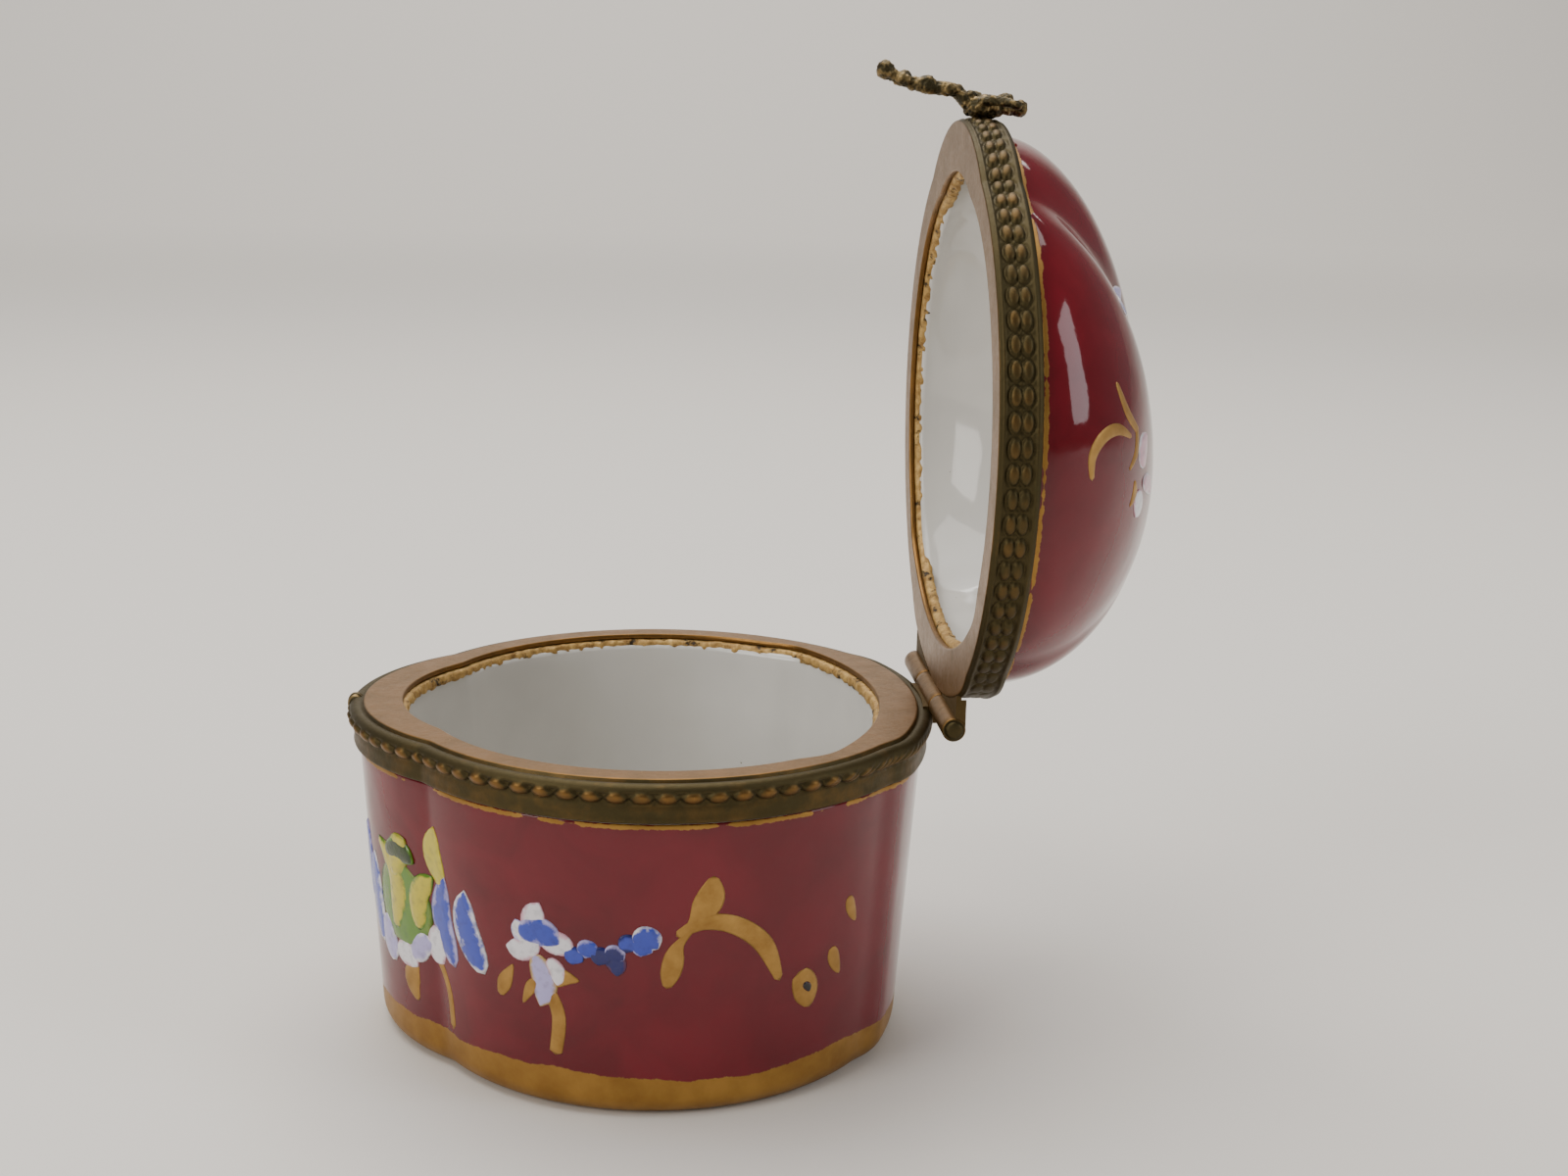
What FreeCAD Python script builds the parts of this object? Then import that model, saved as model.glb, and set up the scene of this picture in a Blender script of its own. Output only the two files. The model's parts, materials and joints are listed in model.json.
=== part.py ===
import FreeCAD, Part
import math
import os
import Sketcher

# Porcelain trinket box with a hinged lid, in millimetres.
# Frame: +Z up, origin at the centre of the flat underside. The front, with the clasp, faces -X;
# the hinge is at the back, on the +X side, and its axis runs along Y.
# The lid pieces are drawn in the closed position and then turned about the hinge axis.

os.makedirs("parts", exist_ok=True)
doc = FreeCAD.newDocument("TrinketBox")

# ---------------------------------------------------------------- driving dimensions
SIZES = [
    # plan outline: a lobed cushion made of tangent arcs
    ("half_length", 25.0),          # centre to the front and to the back of the outline
    ("half_width", 25.2),          # centre to the widest point of each side
    ("side_shift", 1.5),            # the widest point lies this far behind the centre
    ("side_radius", 22.9),
    ("front_radius", 18.5),
    ("front_flute_radius", 3.2),    # hollow flute between the front lobe and a side
    ("back_radius", 33.0),
    ("corner_radius", 7.5),
    ("corner_bulge", 0.5),          # how far the back corner stands out past the side's circle
    ("back_flute_radius", 10.0),     # shallow flute between a side and the back corner
    # heights
    ("rim_height", 30.2),           # top face of the cup's rim plate
    ("rim_gap", 0.2),               # air between the two rim plates when the box is shut
    ("dome_height", 18.3),          # rim plate of the lid to the crown
    # brass mounts
    ("plate_thickness", 0.5),
    ("plate_overhang", 0.35),        # rim plate edge, outside the outline
    ("plate_inset", 2.0),           # rim plate opening, inside the outline
    ("end_inset", 1.2),             # the opening is this much shorter again at each end
    ("strip_thickness", 0.4),
    ("strip_outside", 1.2),         # outer face of the upright strip, outside the outline
    ("strip_depth", 3.5),           # from the rim plate's face to the strip's free edge
    ("roll_radius", 0.75),          # rounded moulding along the cup's strip
    ("roll_outside", 0.85),
    ("roll_drop", 0.95),
    ("bead_relief", 0.35),          # low raised band that carries the lid's pearls
    ("bead_edge", 0.45),            # plain borders each side of that band
    # porcelain
    ("wall_outside", 0.7),         # wall just past the strip, outside the outline
    ("neck_outside", 0.4),          # thinner neck that sits inside the strip
    ("lip_inset", 2.6),             # inner edge of the porcelain lip
    ("cavity_end_inset", 0.9),
    ("lip_drop", 0.5),              # cement between the lip and the rim plate
    ("cement_shoulder", 0.2),       # cement that runs out over the cup's neck to the strip
    ("strip_play", 0.1),            # air between the strip's free edge and the glazed shoulder
    ("wall_taper", 1.6),            # how far the wall leans in, from shoulder to foot
    ("cavity_taper", 0.8),
    ("foot_rounding", 2.0),
    ("floor_thickness", 2.6),
    ("cavity_rounding", 2.2),
    ("foot_hollow", 0.6),           # shallow hollow under the foot
    ("foot_ring", 1.6),             # width of the flat ring that it stands on
    ("dome_wall", 2.5),
    ("dome_outside", 0.0),          # dome's foot, outside the outline
    ("dome_power", 1.1),            # 1 gives an elliptical dome, more a sharper one
    ("crown_shift", 6.8),           # the crown lies this far behind the centre
    ("lid_setback", 1.1),           # the lid's front lobe stops this much short of the cup's
    # hinge
    ("axis_outside", 2.1),          # hinge axis, behind the outline
    ("barrel_radius", 1.05),
    ("barrel_half", 12.2),
    ("middle_half", 4.1),           # half length of the cup's middle knuckle
    ("knuckle_gap", 0.15),          # end play between knuckles
    ("pin_radius", 0.5),
    ("pin_clearance", 0.04),
    ("pin_head", 0.35),             # peened pin end, past the knuckle
    ("pin_head_radius", 0.8),
    ("lid_seat_depth", 0.9),        # solder seats beside the knuckles
    ("cup_seat_depth", 1.6),
    ("swing_clearance", 0.2),       # air between a knuckle and the other part's mount
    ("open_angle", 90.0),
    # catch and clasp
    ("knob_radius", 1.1),
    ("knob_reach", 1.9),           # front of the catch knob, outside the outline
    ("clasp_clearance", 0.25),       # air between the knob and the clasp arm
    ("twig_radius", 0.55),
    ("clasp_rise", 5.9),            # clasp arm above the rim
    ("clasp_fall", 6.9),            # clasp arm below the rim when the box is shut
    ("clasp_flare", 2.3),           # how far the lower tip stands out
    ("clasp_bend", 3.1),            # the arm is straight down to here below the rim
    ("clasp_elbow", 5.2),           # and starts to flare more at this depth
    ("clasp_elbow_out", 0.8),
    ("clasp_spread", 3.4),          # side twigs, each side of the middle plane
    ("twig_foot", 0.6),             # side twigs leave the arm at this height above the rim
    ("twig_top", 4.4),
    ("lug_width", 2.0),
    ("lug_thickness", 1.2),
]
sheet = doc.addObject("Spreadsheet::Sheet", "Sizes")
for row, (alias, value) in enumerate(SIZES, start=1):
    sheet.set(f"A{row}", alias)
    sheet.set(f"B{row}", str(value))
    sheet.setAlias(f"B{row}", alias)
doc.recompute()


def size(alias):
    """Value of a driving dimension."""
    return float(getattr(sheet, alias))


# ---------------------------------------------------------------- plan outline
def crossing(one, one_radius, other, other_radius, hand):
    """Where two circles cross: right of the line from one to the other with hand 1, left with -1."""
    gap = math.hypot(other[0] - one[0], other[1] - one[1])
    along = (one_radius ** 2 - other_radius ** 2 + gap ** 2) / (2 * gap)
    across = hand * math.sqrt(one_radius ** 2 - along ** 2)
    ux, uy = (other[0] - one[0]) / gap, (other[1] - one[1]) / gap
    return (one[0] + along * ux + across * uy, one[1] + along * uy - across * ux)


def half_outline(end_inset, setback):
    """Arcs of the outline's +Y half, from back to front: name, centre, radius cell, bulge sign."""
    back = (size("half_length") - end_inset - size("back_radius"), 0.0)
    front = (-(size("half_length") - end_inset - setback - size("front_radius")), 0.0)
    side = (size("side_shift"), size("half_width") - size("side_radius"))
    corner = crossing(back, size("back_radius") - size("corner_radius"),
                      side, size("side_radius") - size("corner_radius") + size("corner_bulge"), -1)
    back_flute = crossing(corner, size("corner_radius") + size("back_flute_radius"),
                          side, size("side_radius") + size("back_flute_radius"), 1)
    front_flute = crossing(side, size("side_radius") + size("front_flute_radius"),
                           front, size("front_radius") + size("front_flute_radius"), 1)
    return [("back", back, "back_radius", 1), ("corner", corner, "corner_radius", 1),
            ("back_flute", back_flute, "back_flute_radius", -1), ("side", side, "side_radius", 1),
            ("front_flute", front_flute, "front_flute_radius", -1),
            ("front", front, "front_radius", 1)]


def bearing(centre, point):
    return math.atan2(point[1] - centre[1], point[0] - centre[0])


def outline_arcs(end_inset, setback):
    """Whole outline, anticlockwise: name, centre, radius cell, bulge sign, first and last bearing."""
    half = half_outline(end_inset, setback)
    mirrored = [(name, (centre[0], -centre[1]), cell, sign)
                for name, centre, cell, sign in reversed(half[1:-1])]
    loop = half + mirrored
    arcs = []
    for index, (name, centre, cell, sign) in enumerate(loop):
        before = loop[index - 1][1]
        after = loop[(index + 1) % len(loop)][1]
        if name == "back":
            # a wide arc whose neighbours lie inside it
            first, last = bearing(centre, before), bearing(centre, after)
        elif name == "corner":
            # one neighbour is the wide back arc, the other a flute
            from_back = bearing(loop[0][1], centre)
            first = from_back if centre[1] > 0 else bearing(centre, before)
            last = bearing(centre, after) if centre[1] > 0 else from_back
        else:
            first, last = bearing(centre, before), bearing(centre, after)
        arcs.append((name, centre, cell, sign, first, last))
    return arcs


def new_body(label):
    body = doc.addObject("PartDesign::Body", label)
    body.Label = label
    return body


def new_sketch(body, label, height, role="XY_Plane"):
    """Sketch on one of the body's origin planes, raised by an expression."""
    sketch = body.newObject("Sketcher::SketchObject", label)
    plane = [item for item in body.Origin.OriginFeatures if item.Role == role][0]
    sketch.AttachmentSupport = [(plane, "")]
    sketch.MapMode = "FlatFace"
    sketch.setExpression("AttachmentOffset.Base.z", height)
    return sketch


def bind(sketch, constraint, expression):
    index = sketch.addConstraint(constraint)
    sketch.setExpression(f"Constraints[{index}]", expression)


def evaluate(expression):
    """Number that a sheet expression stands for, used to draw a sketch close to its solution."""
    return float(sheet.evalExpression(expression.replace("Sizes.", "")))


def draw_outline(sketch, offset, end_inset="0", scale="1", crown="0", setback="0"):
    """Adds the outline to a sketch, moved outward by offset after it is scaled about x = crown."""
    shift, factor, middle = evaluate(offset), evaluate(scale), evaluate(crown)
    arcs = outline_arcs(evaluate(end_inset), evaluate(setback))
    base = sketch.GeometryCount
    for name, centre, cell, sign, first, last in arcs:
        spot = FreeCAD.Vector(middle + factor * (centre[0] - middle), factor * centre[1], 0)
        radius = factor * size(cell) + sign * shift
        circle = Part.Circle(spot, FreeCAD.Vector(0, 0, 1), radius)
        turn = (first, last) if sign > 0 else (last, first)
        sketch.addGeometry(Part.ArcOfCircle(circle, *turn), False)
    # point 1 is an arc's start and 2 its end; a hollow arc is drawn the other way round
    count = len(arcs)
    for index, (name, centre, cell, sign, first, last) in enumerate(arcs):
        following = (index + 1) % count
        leaves = 2 if sign > 0 else 1
        enters = 1 if arcs[following][3] > 0 else 2
        sketch.addConstraint(Sketcher.Constraint("Tangent", base + index, leaves,
                                                 base + following, enters))
    for index, (name, centre, cell, sign, first, last) in enumerate(arcs):
        radius = factor * size(cell) + sign * shift
        plus = "+" if sign > 0 else "-"
        bind(sketch, Sketcher.Constraint("Radius", base + index, radius),
             f"({scale}) * Sizes.{cell} {plus} ({offset})")
        if name in ("back", "front"):
            way, short = (1, "0") if name == "back" else (-1, setback)
            sketch.addConstraint(Sketcher.Constraint("PointOnObject", base + index, 3, -1))
            place = f"{way} * (Sizes.half_length - ({end_inset}) - ({short}) - Sizes.{cell})"
            bind(sketch, Sketcher.Constraint("DistanceX", -1, 1, base + index, 3,
                                             middle + factor * (centre[0] - middle)),
                 f"({crown}) + ({scale}) * ({place} - ({crown}))")
        if name == "side":
            way = 1 if centre[1] * (size("half_width") - size("side_radius")) > 0 else -1
            bind(sketch, Sketcher.Constraint("DistanceX", -1, 1, base + index, 3,
                                             middle + factor * (centre[0] - middle)),
                 f"({crown}) + ({scale}) * (Sizes.side_shift - ({crown}))")
            bind(sketch, Sketcher.Constraint("DistanceY", -1, 1, base + index, 3,
                                             factor * centre[1]),
                 f"{way} * ({scale}) * (Sizes.half_width - Sizes.side_radius)")
        if name == "corner":
            side_index = index + 2 if centre[1] > 0 else index - 2
            side_centre = arcs[side_index][1]
            reach = factor * math.dist(centre, side_centre)
            bind(sketch, Sketcher.Constraint("Distance", base + index, 3,
                                             base + side_index, 3, reach),
                 f"({scale}) * (Sizes.side_radius - Sizes.corner_radius + Sizes.corner_bulge)")


def pad(body, sketch, label, length):
    feature = body.newObject("PartDesign::Pad", label)
    feature.Profile = sketch
    feature.setExpression("Length", length)
    return feature


def loft(body, kind, label, sketches):
    feature = body.newObject(f"PartDesign::{kind}", label)
    feature.Profile = sketches[0]
    feature.Sections = sketches[1:]
    feature.Ruled = True
    return feature


def ring(body, label, height, length, inner, outer, inner_end_inset="0", setback="0"):
    """Flat or upright ring between two offsets of the outline."""
    sketch = new_sketch(body, f"{label}_outline", height)
    draw_outline(sketch, outer, setback=setback)
    draw_outline(sketch, inner, inner_end_inset, setback=setback)
    return pad(body, sketch, label, length)


# ---------------------------------------------------------------- cup
SHOULDER = "Sizes.rim_height - Sizes.strip_depth - Sizes.strip_play"
LIP = "Sizes.rim_height - Sizes.plate_thickness - Sizes.lip_drop"


ROUNDING_STEP = 15      # degrees between the sections of a rounded edge


def rounded_loft(body, label, kind, heights, offsets, rounding, end_inset="0"):
    """Wall between two heights whose lower edge is rounded; offsets are those of the sharp wall."""
    low, high = heights
    foot, top = offsets
    turn = []
    for step in range(0, 91, ROUNDING_STEP):
        rise = f"({rounding}) * (1 - cos({step} deg))"
        inset = f"({rounding}) * (1 - sin({step} deg))"
        sketch = new_sketch(body, f"{label}_{step}", f"{low} + {rise}")
        draw_outline(sketch, f"{foot} - {inset}", end_inset)
        turn.append(sketch)
    loft(body, kind, f"{label}_rounding", turn)
    start = new_sketch(body, f"{label}_start", f"{low} + {rounding}")
    draw_outline(start, foot, end_inset)
    finish = new_sketch(body, f"{label}_top", high)
    draw_outline(finish, top, end_inset)
    loft(body, kind, f"{label}_wall", [start, finish])


def build_cup():
    body = new_body("base_cup")
    foot = "Sizes.wall_outside - Sizes.wall_taper"
    rounded_loft(body, "cup", "AdditiveLoft", ("0", SHOULDER), (foot, "Sizes.wall_outside"),
                 "Sizes.foot_rounding")
    neck = new_sketch(body, "cup_neck_outline", SHOULDER)
    draw_outline(neck, "Sizes.neck_outside")
    pad(body, neck, "cup_neck", f"({LIP}) - ({SHOULDER})")
    rounded_loft(body, "cavity", "SubtractiveLoft", ("Sizes.floor_thickness", LIP),
                 ("-Sizes.lip_inset - Sizes.cavity_taper", "-Sizes.lip_inset"),
                 "Sizes.cavity_rounding", "Sizes.cavity_end_inset")
    hollow = new_sketch(body, "foot_hollow_outline", "0")
    draw_outline(hollow, f"{foot} - Sizes.foot_rounding - Sizes.foot_ring")
    cut = body.newObject("PartDesign::Pocket", "foot_hollow")
    cut.Profile = hollow
    cut.Reversed = True
    cut.setExpression("Length", "Sizes.foot_hollow")
    return body


# ---------------------------------------------------------------- cup's brass and cement
PLATE_UNDERSIDE = "Sizes.rim_height - Sizes.plate_thickness"
STRIP_EDGE = "Sizes.rim_height - Sizes.strip_depth"
STRIP_INSIDE = "Sizes.strip_outside - Sizes.strip_thickness"
ROLL_INSIDE = "Sizes.roll_outside - Sizes.roll_radius"


def build_cup_cement():
    """Cement fills the space between the porcelain neck, the strip and the rim plate."""
    body = new_body("base_cement")
    ring(body, "cement_bed", LIP, "Sizes.lip_drop", "-Sizes.lip_inset", ROLL_INSIDE,
         "Sizes.cavity_end_inset")
    ring(body, "cement_shoulder", LIP, "Sizes.cement_shoulder", "-Sizes.lip_inset", STRIP_INSIDE,
         "Sizes.cavity_end_inset")
    ring(body, "cement_collar", STRIP_EDGE, f"({LIP}) - ({STRIP_EDGE})",
         "Sizes.neck_outside", STRIP_INSIDE)
    return body


def moulding(body, label, height, offset, radius):
    """Half-round roll that follows the outline all the way round."""
    path = new_sketch(body, f"{label}_path", height)
    draw_outline(path, offset)
    profile = body.newObject("Sketcher::SketchObject", f"{label}_profile")
    plane = [item for item in body.Origin.OriginFeatures if item.Role == "XZ_Plane"][0]
    profile.AttachmentSupport = [(plane, "")]
    profile.MapMode = "FlatFace"
    reach, level = evaluate(f"Sizes.half_length + {offset}"), evaluate(height)
    circle = Part.Circle(FreeCAD.Vector(-reach, level, 0), FreeCAD.Vector(0, 0, 1), evaluate(radius))
    profile.addGeometry(circle, False)
    bind(profile, Sketcher.Constraint("DistanceX", 0, 3, -1, 1, reach),
         f"Sizes.half_length + {offset}")
    bind(profile, Sketcher.Constraint("DistanceY", -1, 1, 0, 3, level), height)
    bind(profile, Sketcher.Constraint("Radius", 0, evaluate(radius)), radius)
    pipe = body.newObject("PartDesign::AdditivePipe", label)
    pipe.Profile = profile
    pipe.Spine = path
    return pipe


def build_cup_bezel():
    body = new_body("cup_mount")
    ring(body, "rim_plate", PLATE_UNDERSIDE, "Sizes.plate_thickness", "-Sizes.plate_inset",
         "Sizes.plate_overhang", "Sizes.end_inset")
    ring(body, "strip", STRIP_EDGE, f"Sizes.rim_height - Sizes.roll_drop - ({STRIP_EDGE})",
         STRIP_INSIDE, "Sizes.strip_outside")
    moulding(body, "roll", "Sizes.rim_height - Sizes.roll_drop", "Sizes.roll_outside",
             "Sizes.roll_radius")
    # the roll's inner side is cut back level with the strip, for the porcelain neck
    relief = new_sketch(body, "roll_relief_outline", f"{LIP} + Sizes.cement_shoulder")
    draw_outline(relief, STRIP_INSIDE)
    pocket = body.newObject("PartDesign::Pocket", "roll_relief")
    pocket.Profile = relief
    pocket.setExpression("Length", f"({LIP}) + Sizes.cement_shoulder - ({STRIP_EDGE})")
    return body


# ---------------------------------------------------------------- lid, drawn shut
LID_FACE = "Sizes.rim_height + Sizes.rim_gap"
LID_LIP = f"{LID_FACE} + Sizes.plate_thickness + Sizes.lip_drop"
LID_SHOULDER = f"{LID_FACE} + Sizes.strip_depth + Sizes.strip_play"
LID_STRIP_EDGE = f"{LID_FACE} + Sizes.strip_depth"
SETBACK = "Sizes.lid_setback"
DOME_SECTIONS = (12, 24, 36, 48, 60, 70, 79, 86)    # degrees along the dome's quarter curve


def dome_loft(body, kind, label, foot, rise, inset):
    """Dome of shrinking outlines: heights follow a sine and widths a cosine, a little sharpened."""
    sections = []
    for step in (0,) + DOME_SECTIONS:
        scale = f"(cos({step} deg) ^ Sizes.dome_power)"
        sketch = new_sketch(body, f"{label}_{step}",
                            f"{foot} + ({rise}) * (sin({step} deg) ^ Sizes.dome_power)")
        draw_outline(sketch, f"-({inset}) * {scale}", "0", scale, "Sizes.crown_shift", SETBACK)
        sections.append(sketch)
    return loft(body, kind, label, sections)


def build_lid_shell():
    body = new_body("lid_shell")
    neck = new_sketch(body, "lid_neck_outline", LID_LIP)
    draw_outline(neck, "Sizes.neck_outside", setback=SETBACK)
    pad(body, neck, "lid_neck", f"({LID_SHOULDER}) - ({LID_LIP})")
    rise = f"Sizes.dome_height - Sizes.strip_depth - Sizes.strip_play"
    dome_loft(body, "AdditiveLoft", "dome", LID_SHOULDER, rise, "-Sizes.dome_outside")
    inside = f"Sizes.dome_height - Sizes.plate_thickness - Sizes.lip_drop - Sizes.dome_wall"
    dome_loft(body, "SubtractiveLoft", "dome_cavity", LID_LIP, inside, "Sizes.lip_inset")
    return body


def build_lid_cement():
    body = new_body("lid_cement")
    ring(body, "lid_cement_bed", f"{LID_FACE} + Sizes.plate_thickness", "Sizes.lip_drop",
         "-Sizes.lip_inset", STRIP_INSIDE, "Sizes.cavity_end_inset", SETBACK)
    ring(body, "lid_cement_collar", LID_LIP, f"({LID_STRIP_EDGE}) - ({LID_LIP})",
         "Sizes.neck_outside", STRIP_INSIDE, setback=SETBACK)
    return body


def build_lid_bezel():
    body = new_body("lid_mount")
    ring(body, "lid_rim_plate", LID_FACE, "Sizes.plate_thickness", "-Sizes.plate_inset",
         "Sizes.strip_outside", "Sizes.end_inset", SETBACK)
    ring(body, "lid_strip", f"{LID_FACE} + Sizes.plate_thickness",
         "Sizes.strip_depth - Sizes.plate_thickness", STRIP_INSIDE, "Sizes.strip_outside",
         setback=SETBACK)
    ring(body, "lid_bead_band", f"{LID_FACE} + Sizes.bead_edge",
         "Sizes.strip_depth - 2 * Sizes.bead_edge", STRIP_INSIDE,
         "Sizes.strip_outside + Sizes.bead_relief", setback=SETBACK)
    return body


# ---------------------------------------------------------------- hinge
AXIS_X = "Sizes.half_length + Sizes.axis_outside"
AXIS_Z = "Sizes.rim_height + Sizes.rim_gap / 2"
END_LENGTH = "Sizes.barrel_half - Sizes.middle_half - Sizes.knuckle_gap"
HINGE_AXIS = FreeCAD.Vector(evaluate(AXIS_X), 0, evaluate(AXIS_Z))


def rod(label, radius, start, length):
    """Cylinder along the hinge axis, from Y = start."""
    cylinder = doc.addObject("Part::Cylinder", label)
    cylinder.setExpression("Radius", radius)
    cylinder.setExpression("Height", length)
    cylinder.Placement.Rotation = FreeCAD.Rotation(FreeCAD.Vector(1, 0, 0), -90)
    cylinder.setExpression("Placement.Base.x", AXIS_X)
    cylinder.setExpression("Placement.Base.y", start)
    cylinder.setExpression("Placement.Base.z", AXIS_Z)
    return cylinder


def block(label, low, extent):
    """Box from its low corner and its lengths, each an expression."""
    box = doc.addObject("Part::Box", label)
    for axis, place, side, length in zip("xyz", low, ("Length", "Width", "Height"), extent):
        box.setExpression(f"Placement.Base.{axis}", place)
        box.setExpression(side, length)
    return box


def cut(label, base, tools):
    """Part::Cut of one tool after another; the last cut carries the label."""
    for number, tool in enumerate(tools, start=1):
        feature = doc.addObject("Part::Cut", label if number == len(tools) else f"{label}_{number}")
        feature.Base = base
        feature.Tool = tool
        base = feature
    base.Label = label
    return base


def file_hollows(label, mount, own, others):
    """Mount with a close hollow for each own knuckle and an airy one for each of the other part's.

    Each knuckle is given as (start, length).
    """
    hollows = [rod(f"{label}_own_{number}", "Sizes.barrel_radius", start, length)
               for number, (start, length) in enumerate(own, start=1)]
    for number, (start, length) in enumerate(others, start=1):
        hollows.append(rod(f"{label}_other_{number}", "Sizes.barrel_radius + Sizes.swing_clearance",
                           f"{start} - Sizes.knuckle_gap", f"{length} + 2 * Sizes.knuckle_gap"))
    return cut(label, mount, hollows)


def build_knuckle(label, start, length):
    return cut(label, rod(f"{label}_tube", "Sizes.barrel_radius", start, length),
               [rod(f"{label}_bore", "Sizes.pin_radius + Sizes.pin_clearance",
                    f"{start} - 1", f"{length} + 2")])


def build_pin():
    shank = rod("pin_shank", "Sizes.pin_radius", "-Sizes.barrel_half", "2 * Sizes.barrel_half")
    heads = [rod(f"pin_head_{name}", "Sizes.pin_head_radius", start, "Sizes.pin_head")
             for name, start in (("near", "-Sizes.barrel_half - Sizes.pin_head"),
                                 ("far", "Sizes.barrel_half"))]
    pin = doc.addObject("Part::MultiFuse", "hinge_pin")
    pin.Shapes = [shank] + heads
    pin.Label = "hinge_pin"
    return pin


def inside_of_strip(label, low, length, setback):
    """Block that fills the inside of a strip; it trims what is soldered to the strip's outside."""
    body = new_body(label)
    sketch = new_sketch(body, f"{label}_outline", low)
    draw_outline(sketch, STRIP_INSIDE, setback=setback)
    pad(body, sketch, f"{label}_block", length)
    return body


def build_seat(label, bezel, start, length, low, seat_depth, setback):
    """Solder seat that fills the space between the curved mount and the straight knuckle."""
    seat = block(f"{label}_block", ("Sizes.half_length - Sizes.barrel_radius * 2", start, low),
                 ("Sizes.axis_outside + Sizes.barrel_radius * 2", length, seat_depth))
    solid_knuckle = rod(f"{label}_hollow", "Sizes.barrel_radius", start, length)
    inner = inside_of_strip(f"{label}_inside", low, seat_depth, setback)
    return cut(label, seat, [inner, bezel, solid_knuckle])


# ---------------------------------------------------------------- catch and clasp
def build_knob(bezel):
    """Domed knob whose back is cut to the moulding that it is soldered to."""
    level = "Sizes.rim_height - Sizes.roll_drop"
    stem = doc.addObject("Part::Cylinder", "knob_stem")
    stem.setExpression("Radius", "Sizes.knob_radius")
    stem.setExpression("Height", "Sizes.knob_reach - Sizes.roll_outside - Sizes.knob_radius / 2")
    stem.Placement.Rotation = FreeCAD.Rotation(FreeCAD.Vector(0, 1, 0), -90)
    stem.setExpression("Placement.Base.x", "-Sizes.half_length - Sizes.roll_outside")
    stem.setExpression("Placement.Base.z", level)
    dome = doc.addObject("Part::Ellipsoid", "knob_dome")
    dome.setExpression("Radius1", "Sizes.knob_radius / 2")
    dome.setExpression("Radius2", "Sizes.knob_radius")
    dome.setExpression("Radius3", "Sizes.knob_radius")
    dome.Placement.Rotation = FreeCAD.Rotation(FreeCAD.Vector(0, 1, 0), -90)
    dome.setExpression("Placement.Base.x",
                       "-Sizes.half_length - Sizes.knob_reach + Sizes.knob_radius / 2")
    dome.setExpression("Placement.Base.z", level)
    whole = doc.addObject("Part::Fuse", "knob_whole")
    whole.Base = stem
    whole.Tool = dome
    inner = inside_of_strip("knob_inside", STRIP_EDGE, "Sizes.strip_depth", "0")
    return cut("catch_knob", whole, [inner, bezel])


def clasp_face():
    """X of the clasp twig's middle line where it passes the knob."""
    return ("-Sizes.half_length - Sizes.knob_reach - Sizes.clasp_clearance - Sizes.twig_radius")


def build_clasp():
    """Cast sprig: an upright twig whose lower tip flares out, and two side twigs."""
    line = evaluate(clasp_face())
    top, bottom = size("clasp_rise"), size("clasp_fall")
    level = evaluate(AXIS_Z)
    bend, elbow, elbow_out = size("clasp_bend"), size("clasp_elbow"), size("clasp_elbow_out")
    flare, spread, radius = size("clasp_flare"), size("clasp_spread"), size("twig_radius")
    fork, twig_top = size("twig_foot"), size("twig_top")
    point = FreeCAD.Vector
    routes = [
        [point(line, 0, level + top), point(line, 0, level - bend),
         point(line - elbow_out, 0, level - elbow), point(line - flare, 0, level - bottom)],
        [point(line, 0, level + fork), point(line, spread, level + twig_top)],
        [point(line, 0, level + fork), point(line, -spread, level + twig_top)],
    ]
    pieces = []
    for route in routes:
        for start, finish in zip(route, route[1:]):
            run = finish - start
            pieces.append(Part.makeCylinder(radius, run.Length, start, run))
        pieces.extend(Part.makeSphere(radius, spot) for spot in route)
    sprig = doc.addObject("Part::Feature", "clasp_sprig")
    sprig.Shape = pieces[0].multiFuse(pieces[1:]).removeSplitter()
    sprig.Label = "clasp_sprig"
    return sprig


def build_lug(bezel, sprig):
    """Small soldered block between the lid's band and the sprig."""
    reach = f"-({clasp_face()}) - Sizes.half_length + {SETBACK}"
    lug = block("lug_block", (clasp_face(), "-Sizes.lug_width / 2", f"{LID_FACE} + Sizes.bead_edge"),
                (reach, "Sizes.lug_width", "Sizes.lug_thickness"))
    inner = inside_of_strip("lug_inside", LID_FACE, "Sizes.strip_depth", SETBACK)
    return cut("clasp_lug", lug, [inner, bezel, sprig])


# ---------------------------------------------------------------- assembly
cup = build_cup()
cup_cement = build_cup_cement()
NEAR_START = "-Sizes.barrel_half"
FAR_START = "Sizes.middle_half + Sizes.knuckle_gap"
MIDDLE_START = "-Sizes.middle_half"
MIDDLE_LENGTH = "2 * Sizes.middle_half"
CUP_KNUCKLES = [(MIDDLE_START, MIDDLE_LENGTH)]
LID_KNUCKLES = [(NEAR_START, END_LENGTH), (FAR_START, END_LENGTH)]
cup_bezel = file_hollows("base_bezel", build_cup_bezel(), CUP_KNUCKLES, LID_KNUCKLES)
lid_shell = build_lid_shell()
lid_cement = build_lid_cement()
lid_bezel = file_hollows("lid_bezel", build_lid_bezel(), LID_KNUCKLES, CUP_KNUCKLES)
doc.recompute()
middle_knuckle = build_knuckle("hinge_knuckle_middle", MIDDLE_START, MIDDLE_LENGTH)
near_knuckle = build_knuckle("hinge_knuckle_near", NEAR_START, END_LENGTH)
far_knuckle = build_knuckle("hinge_knuckle_far", FAR_START, END_LENGTH)
pin = build_pin()
cup_seat = build_seat("hinge_seat_cup", cup_bezel, MIDDLE_START, MIDDLE_LENGTH,
                      "Sizes.rim_height - Sizes.cup_seat_depth", "Sizes.cup_seat_depth", "0")
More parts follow.
